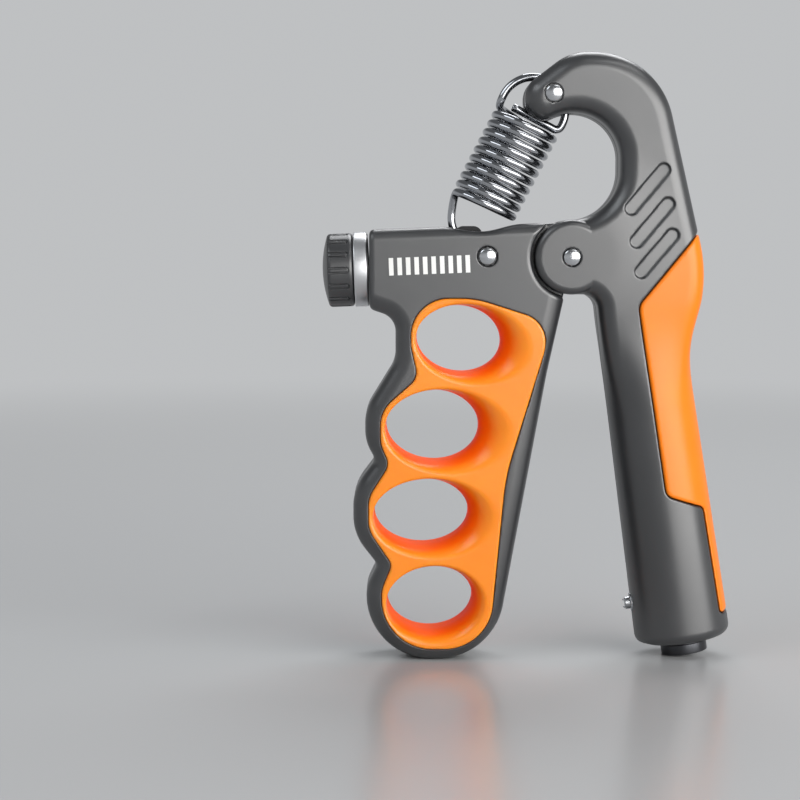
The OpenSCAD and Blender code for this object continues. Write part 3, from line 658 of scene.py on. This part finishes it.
def mesh_object(name, points, faces, normals=None):
    """A smooth-shaded mesh object. Points are in millimetres from the pivot."""
    mesh = bpy.data.meshes.new(name)
    mesh.from_pydata(in_frame(points).tolist(), [], [list(map(int, f)) for f in faces])
    if normals is None:
        work = bmesh.new()
        work.from_mesh(mesh)
        bmesh.ops.remove_doubles(work, verts=work.verts, dist=1e-7)
        bmesh.ops.recalc_face_normals(work, faces=work.faces)
        work.to_mesh(mesh)
        work.free()
    mesh.polygons.foreach_set("use_smooth", [True] * len(mesh.polygons))
    if normals is not None:
        mesh.normals_split_custom_set_from_vertices(normals.tolist())
    return new_object(name, mesh)


def moulding(name, field, low, high, step, *finish):
    """A moulded piece, meshed from its field and finished."""
    finished(mesh_object(name, *net(field, low, high, step)), *finish)


class Axis:
    """A straight axis of a turned piece, with two directions across it."""

    def __init__(self, origin, along, across):
        self.origin = np.array(origin, float)
        self.along = np.array(along, float)
        self.across = np.array(across, float)
        self.third = np.cross(self.along, self.across)

    def point(self, along, a, b):
        """Points at a distance along the axis and a, b across it."""
        parts = np.broadcast_arrays(along, a, b)
        vectors = (self.along, self.across, self.third)
        return self.origin + sum(p[..., None] * v for p, v in zip(parts, vectors))


def round_edge(points, radius, steps=4):
    """A profile whose inner corners are rounded, as (along, out) points."""
    points = [np.array(p, float) for p in points]
    made = [points[0]]
    for before, here, after in zip(points, points[1:], points[2:]):
        back, on = before - here, after - here
        reach = min(radius, 0.45 * np.linalg.norm(back), 0.45 * np.linalg.norm(on))
        start, end = here + unit(back) * reach, here + unit(on) * reach
        for t in np.arange(steps + 1) / steps:
            made.append((1 - t) ** 2 * start + 2 * t * (1 - t) * here + t * t * end)
    made.append(points[-1])
    return made


def ring_profile(start, end, inner, outer, radius):
    """Profile of a ring between two places on its axis, with rounded edges."""
    corners = [(start, inner), (start, outer), (end, outer), (end, inner), (start, inner)]
    return round_edge(corners, radius)


def tube(name, rings, count):
    """A mesh over rings of count points each."""
    faces = []
    for first in range(0, (len(rings) - 1) * count, count):
        for k in range(count):
            a, b = first + k, first + (k + 1) % count
            faces.append((a, b, b + count, a + count))
    return mesh_object(name, np.concatenate(rings), faces)


def turned(name, axis, profile, count, *finish):
    """A turned piece. Its profile is a list of (distance along the axis, radius)."""
    count = int(count / COARSENESS)
    angle = 2 * math.pi * np.arange(count) / count
    rings = [axis.point(s, r * np.cos(angle), r * np.sin(angle)) for s, r in profile]
    finished(tube(name, rings, count), *finish)


# Grid steps of the hard and the soft mouldings
SHELL_STEP = 0.38
SOFT_STEP = 0.5
SEAM_GAP = 0.03
SEAM_OVERLAP = 0.5
SCREW_WELL = 1.75
PIVOT_PIN = (0, 0)
SPRING_PIN = (-4.9, 43.2)
RIVET = (-22.3, 0.24)
SCREW_ORIGIN = (0, 0, -1.15)
GRIP_ORIGIN = (31.4, 0, -103.1)
SCREW_AXIS = Axis(SCREW_ORIGIN, (math.cos(SCREW_TILT), 0, math.sin(SCREW_TILT)), (0, 1, 0))
GRIP_AXIS = Axis(
    GRIP_ORIGIN,
    (-math.sin(GRIP_TILT), 0, math.cos(GRIP_TILT)),
    (math.cos(GRIP_TILT), 0, math.sin(GRIP_TILT)),
)


def on_screw(x, z):
    """Distance along the screw axis, and height over it."""
    return tilted(x, z - SCREW_ORIGIN[2], SCREW_TILT)


def on_grip(x, z):
    """Distance across the palm handle's axis, and height along it."""
    return tilted(x - GRIP_ORIGIN[0], z - GRIP_ORIGIN[2], GRIP_TILT)


def screw_wells(body, x, y, z, places, head_y):
    """The body with stepped wells for case screws, in its rear half."""
    for place in places:
        flat = from_point(x, z, place) - SCREW_WELL
        body = cut(body, np.maximum(flat, head_y - y), 0.35)
    return body


def half_shells(handle, front, rear, low, high, depth):
    """Both shells of a handle, from its front and rear fields, rounded at the seam."""
    for side, body, way in (("front", front, 1), ("rear", rear, -1)):
        near, far = sorted((-depth * way, SEAM_OVERLAP * way))
        moulding(
            f"{handle}_{side}_moulding",
            lambda x, y, z: meet(body(x, y, z), way * y + SEAM_GAP, 0.7),
            (low[0], near, low[1]), (high[0], far, high[1]), SHELL_STEP,
            charcoal_plastic, f"{handle}_handle", "dark_shell", [f"{handle}_shell_{side}"],
        )


# ---------- Finger handle ----------

finger_side = Outline([
    (-62, 6.97, 1), (-2, 9.27, 1), (-1.5, -9.5, 2), (-6.3, -31, 120),
    (-20.4, -107.7, 17.8), (-54.4, -107.7, 17.2), (-54.4, -88.1, 10), (-51.5, -82.1, 2),
    (-57.9, -73.9, 14), (-57.9, -61.7, 14), (-51.9, -53.8, 2.5), (-54.7, -49.4, 11.7),
    (-54.7, -40.6, 12), (-46.6, -27.4, 9), (-46.6, -16.1, 5), (-62, -10.84, 1),
])
insert_side = Outline([
    (-42.5, -10.9, 10), (-25.5, -10.9, 25), (-6.7, -16.9, 7.5), (-7, -24.5, 10),
    (-17.3, -58, 60), (-21.8, -104.5, 13), (-50.3, -104.5, 13.5), (-50.3, -88.5, 8),
    (-47.5, -81.8, 3), (-53.8, -72.5, 8), (-53.8, -63.9, 8), (-48.2, -55, 4),
    (-50.6, -49.5, 10), (-50.6, -40.7, 9), (-40.6, -31.9, 4.5), (-42.5, -23.5, 6),
])
FINGER_HALF = 11.0
INSERT_HALF = 11.3
HOUSING_END = -53.6
HOUSING_LOW = -18
CHEEK_ROOM = 10.7
TONGUE_RADIUS, TONGUE_HALF = 9.0, 3.6
FINGER_SCREWS = [(-7.4, -12.8), (-48.6, -10), (-13, -52), (-16.4, -73)]
# Rooms round the screw: (middle, half length) along its axis, then their reach from it
NUT_CHANNEL, NUT_HEIGHT, NUT_DEPTH = (-33.75, 13.75), 4.6, 5.7
CLIP_ROOM, CLIP_REACH = (-47.7, 1.3), 4.1
BUSH_BORE, BUSH_START = 4.6, -48.8
# Slot through the top: middle, half length and half width less its corner, corner
TOP_SLOT = (-31.1, 13.6, 1.6, 2)
# The hollow under the coil, centred along and over the screw
COIL_HOLLOW, COIL_HOLLOW_RADIUS = (-23.5, 27.1), 18.2
RIVET_SEAT, RIVET_SEAT_DEPTH = (2.35, 0.35), 0.45


def finger_body(x, y, z):
    """Distance to the whole finger handle, both halves."""
    depth = np.abs(y)
    # The edges are tighter on the housing than on the grip
    body = slab(finger_side(x, z), y, FINGER_HALF, 4.5 - 1.3 * smooth(z, -8, 6))
    body = np.where(z > HOUSING_LOW, meet(body, HOUSING_END - x, 1.5), body)
    # Room for the palm handle's cheeks, and the tongue between them
    from_pivot = np.hypot(x, z)
    body = cut(body, meet(from_pivot - CHEEK_ROOM, TONGUE_HALF - depth, 0.4), 1.3)
    body = join(body, slab(from_pivot - TONGUE_RADIUS, y, TONGUE_HALF, 0.4), 0.3)
    body = cut(body, insert_side(x, z) - 0.06, 0.3)
    along, up = on_screw(x, z)
    from_axis = np.hypot(up, y)
    channel = np.maximum(
        np.maximum(within(along, *NUT_CHANNEL), np.abs(up) - NUT_HEIGHT), depth - NUT_DEPTH
    )
    clip_room = np.maximum(from_axis - CLIP_REACH, within(along, *CLIP_ROOM))
    bore = np.maximum(from_axis - BUSH_BORE, along - BUSH_START)
    slot = np.maximum(grown_box(along - TOP_SLOT[0], y, *TOP_SLOT[1:]), -up)
    body = cut(body, channel, 0.4)
    body = cut(body, np.minimum(clip_room, bore), 0.4)
    body = cut(body, slot, 0.9)
    body = cut(body, from_point(along, up, COIL_HOLLOW) - COIL_HOLLOW_RADIUS, 1.6)
    # Ring seats of the rivet heads
    ring = within(from_point(x, z, RIVET), *RIVET_SEAT)
    return cut(body, np.maximum(ring, FINGER_HALF - RIVET_SEAT_DEPTH - depth), 0.25)


def finger_rear(x, y, z):
    """The finger handle with the wells of its case screws."""
    return screw_wells(finger_body(x, y, z), x, y, z, FINGER_SCREWS, 8.4)


HOLES = [
    # x, z, half width, half height, turn, scoop towards the palm
    (-29.7, -21.7, 11.3, 8.9, -8, 7.6),
    (-36.7, -44.9, 12.4, 9.6, -3, 8.4),
    (-39.7, -68.1, 12.6, 9.0, 0, 7.0),
    (-37.4, -91.3, 11.4, 8.8, 3, 3.6),
]
SCOOP_START = 2.5
SCOOP_END = math.radians(79)
SCOOP_LOW = 3.0
SCOOP_SIDE = 0.5


def finger_hole(x, y, z, hole):
    """Distance to a finger hole that flares towards the palm, and how much it slopes there."""
    hole_x, hole_z, half_w, half_h, turn, scoop = hole

    def at_depth(depth):
        # The flare follows an arc that starts straight and is nearly flat at the face
        lift = np.clip((depth - SCOOP_START) / (INSERT_HALF - SCOOP_START), 0, 1)
        angle = np.arcsin(lift * math.sin(SCOOP_END))
        share = (1 - np.cos(angle)) / (1 - math.cos(SCOOP_END))
        dx = x - hole_x - (scoop - SCOOP_SIDE) / 2 * share
        dz = z - hole_z + (SCOOP_LOW - SCOOP_SIDE) / 2 * share
        return ellipse(
            *tilted(dx, dz, math.radians(turn)),
            half_w + (scoop + SCOOP_SIDE) / 2 * share,
            half_h + (SCOOP_LOW + SCOOP_SIDE) / 2 * share,
        )

    depth = np.abs(y)
    here = at_depth(depth)
    slope = (at_depth(depth - 0.1) - here) / 0.1
    return here / np.sqrt(1 + slope * slope), slope * slope / (1 + slope * slope)


def insert_body(x, y, z):
    """Distance to the insert, with tighter edges where its holes flare."""
    body = slab(insert_side(x, z) + 0.02, y, INSERT_HALF, 0.4)
    for hole in HOLES:
        space, sloped = finger_hole(x, y, z, hole)
        body = cut(body, space, 0.7 - 0.5 * sloped)
    return body


half_shells("finger", finger_body, finger_rear, (-59, -108.4), (10, 10.5), 11.6)
moulding(
    "finger_insert_moulding", insert_body, (-54.6, -11.9, -105.2), (-5.8, 11.9, -10.2),
    SOFT_STEP, insert_rubber, "finger_handle", "orange_insert", ["finger_insert"],
)

# ---------- Palm handle ----------

hook_side = Outline([
    (-12.3, 45.2, 6), (-0.5, 54.2, 14), (22.9, 54.2, 21.5), (36.2, -3.8, 40),
    (32.2, -28, 60), (37.4, -60, 5), (12.9, -60, 5), (8.7, -28, 30), (6.8, -9.85, 4.3),
    (-9.85, -9.85, 9.85), (-9.85, 9.85, 9.85), (12.9, 10, 13), (12.9, 45.8, 12.2),
    (-12.3, 33.2, 5.1),
])
pad_side = Outline([
    (48.6, 24.8, 0.2), (17.6, -12.8, 4), (25.2, -63.5, 3), (35.5, -66.8, 1.8),
    (40.4, -95.7, 1.2), (48.6, -94.5, 0.2),
])
GRIP_RADIUS = 12.8
BARREL_HALF = 60
# The barrel narrows slowly upwards, and faster at its neck
TAPER, TAPER_START = 0.0165, 2.8
NECK_DEPTH, NECK_START, NECK_LENGTH = 1.1, 72, 26
# Heights over which it squares off and runs into the hook
SQUARE_SPAN, HOOK_SPAN = (60, 98), (62, 91)
CHEEK_SPAN = (11, 34)
CHEEK_RADIUS, CHEEK_HALF = 9.85, 11.4
HOOK_HALF = 10.5
TONGUE_ROOM, TONGUE_GAP_HALF = 10.4, 4.2
PAD_DEPTH = 2.0
LOOP_SLOT, LOOP_SLOT_RADIUS, LOOP_SLOT_HALF = (-9.9, 39.2), 10.35, 1.45
RECESSES = [
    ((24.1, 23), (15.6, 12.9)),
    ((25.3, 14), (17, 4.2)),
    ((26.5, 5.8), (18.3, -3.8)),
]
RECESS_RADIUS, RECESS_DEPTH = 1.75, 0.65
PIN_SEAT_RADIUS, PIN_SEAT_DEPTH = 2.5, 0.5
PALM_SCREWS = [(20.5, 32), (13.5, -20), (18.6, -60)]
# The counter's bay, plunger bore and window, along the handle's axis from its foot
BAY_RADIUS, BAY_SPAN = 8.0, (16.3, 14.1)
PLUNGER_HEIGHT, COLLAR_BORE, COLLAR_START = 11.5, 2.65, -8
WINDOW_HEIGHT, WINDOW_HALF, WINDOW_CORNER = 22.2, (1.65, 4.35), 0.6
WINDOW_BEVEL_START, WINDOW_BEVEL = 11.3, 0.8


def palm_form(x, y, z):
    """Distance to the palm handle with nothing cut from it, and its half depth there."""
    across, height = on_grip(x, z)
    radius = GRIP_RADIUS - TAPER * np.maximum(height - TAPER_START, 0)
    radius = radius - NECK_DEPTH * (np.maximum(height - NECK_START, 0) / NECK_LENGTH) ** 2
    power = 2 + 0.8 * smooth(height, *SQUARE_SPAN)
    reach = (np.abs(across) ** power + np.abs(y) ** power) ** (1 / power)
    barrel = slab(reach - radius, height - BARREL_HALF, BARREL_HALF, 2.7)
    from_pivot = np.hypot(x, z)
    half = HOOK_HALF + (CHEEK_HALF - HOOK_HALF) * (1 - smooth(from_pivot, *CHEEK_SPAN))
    hook = slab(hook_side(x, z), y, half, 4.7)
    form = barrel + (hook - barrel) * smooth(height, *HOOK_SPAN)
    return np.minimum(form, slab(from_pivot - CHEEK_RADIUS, y, CHEEK_HALF, 1.9)), half


def palm_body(x, y, z):
    """Distance to both halves of the palm handle."""
    depth = np.abs(y)
    form, half = palm_form(x, y, z)
    across, height = on_grip(x, z)
    body = cut(form, np.maximum(np.hypot(x, z) - TONGUE_ROOM, depth - TONGUE_GAP_HALF), 0.5)
    # Seat of the grip pad
    body = cut(body, np.maximum(pad_side(x, z), -(form + PAD_DEPTH)), 0.45)
    slot = np.maximum(from_point(x, z, LOOP_SLOT) - LOOP_SLOT_RADIUS, depth - LOOP_SLOT_HALF)
    body = cut(body, slot, 0.7)
    for start, end in RECESSES:
        flat = from_line(x, z, start, end) - RECESS_RADIUS
        body = cut(body, meet(flat, half - RECESS_DEPTH - depth, 0.5), 0.45)
    for place, face in ((PIVOT_PIN, CHEEK_HALF), (SPRING_PIN, HOOK_HALF)):
        flat = from_point(x, z, place) - PIN_SEAT_RADIUS
        body = cut(body, np.maximum(flat, face - PIN_SEAT_DEPTH - depth), 0.2)
    bay = np.maximum(np.hypot(across, y) - BAY_RADIUS, within(height, *BAY_SPAN))
    bore = np.hypot(y, height - PLUNGER_HEIGHT) - COLLAR_BORE
    return cut(body, np.minimum(bay, np.maximum(bore, across - COLLAR_START)), 0.45)


def palm_rear(x, y, z):
    """The palm handle with the wells of its case screws and the counter's opening."""
    body = screw_wells(palm_body(x, y, z), x, y, z, PALM_SCREWS, 6.0)
    across, height = on_grip(x, z)
    window = grown_box(across, height - WINDOW_HEIGHT, *WINDOW_HALF, WINDOW_CORNER)
    flare = np.maximum(y - WINDOW_BEVEL_START, 0) * WINDOW_BEVEL
    return cut(body, np.maximum(window - flare, 2 - y), 0.35)


def pad_body(x, y, z):
    """Distance to the grip pad, a skin over the palm handle's form."""
    form, _ = palm_form(x, y, z)
    top = meet(form - 0.03, pad_side(x, z) + 0.18, 1.1)
    return meet(top, -(form + PAD_DEPTH - 0.15), 0.4)


half_shells("palm", palm_body, palm_rear, (-13.2, -104), (45.5, 55.2), 13.5)
moulding(
    "grip_pad_moulding", pad_body, (16.5, -13.6, -97.5), (46, 13.6, 17), SOFT_STEP,
    pad_rubber, "palm_handle", "orange_pad", ["grip_pad"],
)

# ---------- Pins ----------

HEAD_RADIUS, HEAD_HEIGHT = 2.2, 1.1


def domed_profile(shaft, half):
    """Profile of a pin with a domed head at each end, half away from its middle."""
    rise = 0.22 * HEAD_RADIUS
    curve = (HEAD_RADIUS**2 + rise**2) / (2 * rise)
    widest = math.asin((HEAD_RADIUS - 0.1) / curve)
    top = half + HEAD_HEIGHT
    angles = np.linspace(0, widest, 10)
    side = [(top - curve * (1 - math.cos(a)), curve * math.sin(a)) for a in angles]
    side += [(top - rise - 0.12, HEAD_RADIUS), (half, HEAD_RADIUS), (half, shaft)]
    return [(-s, r) for s, r in side] + side[::-1]


for name, (x, z), shaft, half, body in (
    ("pivot_pin", PIVOT_PIN, 1.6, 10.9, "finger_handle"),
    ("spring_pin", SPRING_PIN, 1.25, 10.0, "palm_handle"),
    ("scale_rivet", RIVET, 1.5, 11.0, "finger_handle"),
):
    turned(
        f"{name}_turned", Axis((x, 0, z), (0, 1, 0), (1, 0, 0)), domed_profile(shaft, half), 72,
        pin_head, body, "chrome", [name],
    )

# ---------- Adjuster ----------

KNOB_INNER = -57.9
KNOB_END = -66.2
KNOB_RADIUS = 9.8
KNOB_DOME = 29.6
GROOVES = 14
GROOVE_END = -59.8
GROOVE_DEPTH = 0.45
THREAD_START, THREAD_PITCH, THREAD_RIDGES = -46.5, 0.5, 36
THREAD_OUTER, THREAD_INNER = 2.42, 2.05


def knob_body(x, y, z):
    """Distance to the knob, with the line of a round-ended groove at each of its grips."""
    along, up = on_screw(x, z)
    reach = np.hypot(y, up)
    body = meet(reach - KNOB_RADIUS, along - KNOB_INNER, 1.0)
    body = meet(body, np.hypot(along - (KNOB_END + KNOB_DOME), reach) - KNOB_DOME, 0.8)
    pitch = 2 * math.pi / GROOVES
    angle = np.arctan2(y, up)
    turn = angle - pitch * (np.floor(angle / pitch) + 0.5)
    side, out = reach * np.sin(turn), reach * np.cos(turn)
    middle = np.hypot(np.maximum(along - GROOVE_END, 0), side)
    groove = meet(within(middle, 0.6, 0.2), KNOB_RADIUS - GROOVE_DEPTH - out, 0.1)
    return cut(body, groove, 0.15)


def screw_profile():
    """Profile of the adjusting screw: plain ends and a run of thread ridges."""
    points = [(-63.5, 0), (-63.5, 2.5), (-51.5, 2.5)]
    for k in range(THREAD_RIDGES):
        start = THREAD_START + THREAD_PITCH * k
        points += [(start, THREAD_OUTER), (start + THREAD_PITCH / 2, THREAD_INNER)]
    return points + [(-28.3, 2.5), (-26.5, 2.5), (-26.5, 1.8), (-24.3, 1.8), (-24.3, 0)]


moulding(
    "adjuster_knob_moulding", knob_body, (-67.6, -10.3, -14.6), (-56.6, 10.3, 8.0), 0.18,
    knob_plastic, "adjuster", "dark_knob", ["adjuster_knob"],
)
turned(
    "knob_ring_turned", SCREW_AXIS, ring_profile(-57.75, -54.15, 7.65, 9.95, 0.35), 128,
    ring_steel, "adjuster", "brushed_ring", ["knob_ring"],
)
# A dark flange filling the gap behind the ring: a dark piece put where there is only shadow
turned(
    "knob_gap_shade_flange_turned", SCREW_AXIS, ring_profile(-54.3, -53.78, 2.5, 9.5, 0.12), 96,
    knob_plastic, "adjuster", "dark_knob",
)
turned(
    "adjuster_screw_turned", SCREW_AXIS, screw_profile(), 48,
    plain_steel, "adjuster", "steel", ["adjuster_screw"],
)

# ---------- Spring ----------

HEAD_LOOP, HEAD_LOOP_RADIUS = np.array([-9.9, 0, 39.2]), 8.8
FOOT_LOOP, FOOT_LOOP_RADIUS = np.array([-23.8, 0, 10.5]), 7.8
HEAD_PIN = np.array([-4.9, 0, 43.2])
FOOT_PIN = np.array([-25.9, 0, 5.7])
COIL_RADIUS = 8.35
WIRE_RADIUS = 1.08
COIL_TURNS = 10
# Angles in degrees, and the angles between the rings of the wire
COIL_LEAD = 18
FOOT_TOP, FOOT_FREE = 176, 315
HEAD_LOW, HEAD_FREE = 154, -30
COIL_STEP, LOOP_STEP, BEND_STEP = 3, 3.25, 11
# The tight bend at the head's free end: its radius and the angle where it goes straight
END_BEND, END_TURN = 1.5, -118
END_PLACES = (0.4, 1, 2, 3.5, 5, 7, 9, 11, 12.2)
# Rings of a wire's rounded end: (share of the cap's length, share of the wire's radius)
WIRE_CAP = [(1, 0.0), (1, 0.6), (0.4, 0.92)]


def beside(way):
    """The direction square to a way, in the plane of the handles."""
    return np.array([way[2], 0, -way[0]])


loops_up = unit(HEAD_LOOP - FOOT_LOOP)
coil_low = FOOT_LOOP + 3.0 * loops_up - 0.75 * beside(loops_up)
coil_high = HEAD_LOOP - 3.1 * loops_up
coil_up = unit(coil_high - coil_low)
coil_pitch = np.linalg.norm(coil_high - coil_low) / COIL_TURNS


def coil_point(angle):
    """A point of the coil's centre line."""
    turn = math.radians(angle)
    out = math.cos(turn) * beside(coil_up) + math.sin(turn) * np.array([0, 1, 0])
    return coil_low + coil_up * coil_pitch * angle / 360 - COIL_RADIUS * out


def circle_way(angle):
    """Direction at an angle, in the plane of the handles."""
    return np.array([math.cos(math.radians(angle)), 0, math.sin(math.radians(angle))])


def loop_points(middle, radius, start, end, step):
    """Points of a loop from one angle down to another."""
    return [middle + radius * circle_way(a) for a in np.arange(start, end - 1, -step)]


def bridge(start, start_way, end, end_way, bend=6.0, steps=14):
    """Points of a smooth wire between two others."""
    return [
        (2 * t**3 - 3 * t**2 + 1) * start
        + (t**3 - 2 * t**2 + t) * bend * start_way
        + (3 * t**2 - 2 * t**3) * end
        + (t**3 - t**2) * bend * end_way
        for t in np.arange(1, steps) / steps
    ]


def spring_line():
    """Centre line of the wire, from the free end at the foot to the free end at the head."""
    last = 360 * COIL_TURNS - COIL_LEAD
    coil = [coil_point(a) for a in np.arange(COIL_LEAD, last + 0.1, COIL_STEP)]
    foot = loop_points(FOOT_LOOP, FOOT_LOOP_RADIUS, FOOT_FREE, FOOT_TOP, LOOP_STEP)
    head = loop_points(HEAD_LOOP, HEAD_LOOP_RADIUS, HEAD_LOW, HEAD_FREE, LOOP_STEP)
    foot_tip = foot[0] + 2 * WIRE_RADIUS * circle_way(FOOT_FREE + 90)
    coil_start = unit(coil_point(COIL_LEAD + 1) - coil[0])
    coil_end = unit(coil[-1] - coil_point(last - 3))
    low = bridge(foot[-1], circle_way(FOOT_TOP - 90), coil[0], coil_start)
    high = bridge(coil[-1], coil_end, head[0], circle_way(HEAD_LOW - 90))
    # The free end turns back in a tight bend and lies straight along the top of the coil
    inward = HEAD_LOOP + (HEAD_LOOP_RADIUS - END_BEND) * circle_way(HEAD_FREE)
    tight = loop_points(inward, END_BEND, HEAD_FREE - BEND_STEP, END_TURN, BEND_STEP)
    straight = [tight[-1] + along * circle_way(END_TURN - 90) for along in END_PLACES]
    return np.array([foot_tip] + foot + low + coil + high + head + tight + straight)


def wire(name, line, radius, sides, cap=0.35):
    """A round wire along a line, with rounded ends."""
    way = np.gradient(line, axis=0)
    way /= np.linalg.norm(way, axis=1)[:, None]
    sides = max(int(sides / COARSENESS), 8)
    angle = 2 * math.pi * np.arange(sides) / sides
    normal = unit(np.cross(way[0], [0, 0, 1]) + 1e-6)
    rings = []
    for i, (place, along) in enumerate(zip(line, way)):
        normal = unit(normal - (normal @ along) * along)
        other = np.cross(along, normal)
        ring = np.cos(angle)[:, None] * normal + np.sin(angle)[:, None] * other
        if i == 0:
            rings += [place - along * cap * out + ring * radius * r for out, r in WIRE_CAP]
        rings.append(place + ring * radius)
    rings += [place + along * cap * out + ring * radius * r for out, r in WIRE_CAP[::-1]]
    return tube(name, rings, sides)


spring = wire("tension_spring_wire", spring_line(), WIRE_RADIUS, 36)
spring.data.materials.append(chrome)
foot_at, head_at = in_frame(FOOT_PIN), in_frame(HEAD_PIN)
# The foot also follows the carriage, less and less towards the head
follow = spring.vertex_groups.new(name="carriage")
span = head_at - foot_at
for vertex in spring.data.vertices:
    share = np.clip((np.array(vertex.co) - foot_at) @ span / (span @ span), 0, 1)
    follow.add([vertex.index], float(1 - smooth(share, 0.12, 0.9)), "REPLACE")
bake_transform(spring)
hook = spring.modifiers.new("follows the carriage", "HOOK")
hook.object = frame["bodies"]["carriage"]
hook.vertex_group = "carriage"
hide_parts("tension_spring")

# ---------- Counter ----------

PLUNGER_AXIS = Axis(
    GRIP_AXIS.origin + PLUNGER_HEIGHT * GRIP_AXIS.along, -GRIP_AXIS.across, (0, 1, 0)
)
# Middle and half length along the axis, and radius
PLUNGER_ROD, ROD_RADIUS = (11.3, 2.95), 1.68
PLUNGER_FOOT, FOOT_RADIUS = (7.9, 0.5), 2.3
PLUNGER_TIPS, TIP_RADIUS, TIP_OUT = (14.2, 0.3), 0.3, 1.0
RESET_LENGTH = 3.749
WHEEL_RADIUS = 5.2
WHEEL_BASE = 17.3
WHEEL_PITCH = 3.3
WHEEL_WIDTH = 3.0
DIGIT_RISE = 0.05
LENS_HEIGHT, LENS_HALF, LENS_CORNER = 22.25, (1.5, 4.25), 0.55
LENS_TOP, LENS_DOME, LENS_BACK = 11.7, 14, 8.1


def plunger_body(x, y, z):
    """Distance to the plunger: a stepped rod with square edges and two contact tips."""
    across, height = on_grip(x, z)
    along, up = -across, height - PLUNGER_HEIGHT
    reach = np.hypot(y, up)
    rod = meet(reach - ROD_RADIUS, within(along, *PLUNGER_ROD), 0.15)
    foot = meet(reach - FOOT_RADIUS, within(along, *PLUNGER_FOOT), 0.2)
    from_tip = np.hypot(y, np.abs(up) - TIP_OUT)
    tips = np.hypot(from_tip, np.maximum(within(along, *PLUNGER_TIPS), 0)) - TIP_RADIUS
    return np.minimum(join(rod, tips, 0.12), foot)


moulding(
    "plunger_moulding", plunger_body, (14.0, -2.6, -96.6), (23.4, 2.6, -89.8), 0.13,
    plain_steel, "plunger", "steel", ["plunger"],
)
turned(
    "plunger_collar_turned", PLUNGER_AXIS, ring_profile(9.5, 12.85, 1.75, 2.6, 0.3), 48,
    plain_steel, "palm_handle", "steel", ["plunger_collar"],
)
reset_profile = round_edge([
    (-RESET_LENGTH, 0), (-RESET_LENGTH, 2.2), (-RESET_LENGTH + 0.3, 2.5),
    (-RESET_LENGTH + 0.3, 4.7), (-RESET_LENGTH, 5.0), (-RESET_LENGTH, 6.2),
    (-1.1, 6.2), (-1.1, 5.9), (-0.75, 5.9), (-0.75, 6.2), (-0.3, 6.2), (-0.3, 1.6),
    (3.8, 1.6), (3.8, 0),
], 0.22)
turned(
    "reset_knob_turned", GRIP_AXIS, reset_profile, 96,
    reset_metal, "reset", "reset_metal", ["reset_knob"],
)


def plunger_coil(turns=5, start=4.35, end=7.25, radius=1.5, count=120):
    """The small return spring behind the plunger."""
    turn = np.linspace(0, turns * 2 * math.pi, count)
    along = np.linspace(start, end, count)
    return PLUNGER_AXIS.point(along, radius * np.cos(turn), radius * np.sin(turn))


small_spring = wire("plunger_spring_wire", plunger_coil(), 0.17, 10, 0.1)
small_spring.data.materials.append(plain_steel)
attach(small_spring, "palm_handle")
tuple(in_frame(PLUNGER_AXIS.point(4.2, 0.0, 0.0)))
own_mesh(small_spring)
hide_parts("plunger_spring")


def digit_shape(number):
    """Points and faces of a digit, centred, 1.9 mm tall and 0.12 mm thick."""
    curve = bpy.data.curves.new("digit", "FONT")
    curve.body = str(number)
    curve.size = 2.6
    curve.align_x = "CENTER"
    curve.align_y = "CENTER"
    curve.extrude = 0.06
    curve.resolution_u = 3
    obj = new_object("digit", curve)
    graph = bpy.context.evaluated_depsgraph_get()
    mesh = bpy.data.meshes.new_from_object(obj.evaluated_get(graph))
    points = np.array([v.co for v in mesh.vertices])
    points[:, :2] -= (points[:, :2].max(0) + points[:, :2].min(0)) / 2
    faces = [list(p.vertices) for p in mesh.polygons]
    bpy.data.objects.remove(obj)
    bpy.data.meshes.remove(mesh)
    return points, faces


def digit_ring(name, wheel, body):
    """The ten digits round a wheel, read from hundreds at the top to units below."""
    middle = WHEEL_BASE + wheel * WHEEL_PITCH + WHEEL_WIDTH / 2
    points, faces, count = [], [], 0
    for number in range(10):
        shape, sides = digit_shape(number)
        angle = math.radians(36 * number) + shape[:, 1] / WHEEL_RADIUS
        radius = WHEEL_RADIUS + DIGIT_RISE + shape[:, 2]
        points.append(
            GRIP_AXIS.origin
            + (middle - shape[:, 0])[:, None] * GRIP_AXIS.along
            + (radius * np.cos(angle))[:, None] * np.array([0, 1, 0])
            - (radius * np.sin(angle))[:, None] * GRIP_AXIS.across
        )
        faces += [[k + count for k in side] for side in sides]
        count += len(shape)
    digits = mesh_object(name, np.concatenate(points), faces)
    digits.data.polygons.foreach_set("use_smooth", [False] * len(digits.data.polygons))
    finished(digits, digit_ink, body, "counter_dark")


def lens_body(x, y, z):
    """Distance to the clear lens of the counter, slightly domed."""
    across, height = on_grip(x, z)
    side = grown_box(across, height - LENS_HEIGHT, *LENS_HALF, LENS_CORNER)
    face = np.hypot(across, y - LENS_TOP + LENS_DOME) - LENS_DOME
    return meet(meet(side, face, 0.5), LENS_BACK - y, 0.3)


for wheel, wheel_body in enumerate(("units", "tens", "hundreds")):
    digit_ring(f"{wheel_body}_digits", wheel, wheel_body)
moulding(
    "counter_lens_moulding", lens_body, (23.0, 7.6, -89), (33.0, 12.2, -74), 0.25,
    clear_lens, "palm_handle", "clear_window", ["counter_window"],
)

# ---------- Finishes of the CAD pieces that stay ----------

for material, names in (
    (plain_steel, ("finger_screws", "palm_screws", "screw_clip")),
    (pin_steel, ("carriage_pin", "counter_axle")),
    # The carriage's near black stands in for the shade of the hollow it sits in
    (dark_steel, ("thrust_block", "spring_carriage")),
    (yellow_brass, ("end_bush",)),
    (nylon_plastic, ("pivot_washers",)),
    (scale_paint, ("scale_bars_print",)),
    (counter_plastic, ("counter_frame",)),
    (wheel_plastic, ("units_wheel", "tens_wheel", "hundreds_wheel")),
):
    for name in names:
        cad = frame["nodes"][name]
        cad.data.materials.clear()
        cad.data.materials.append(material)
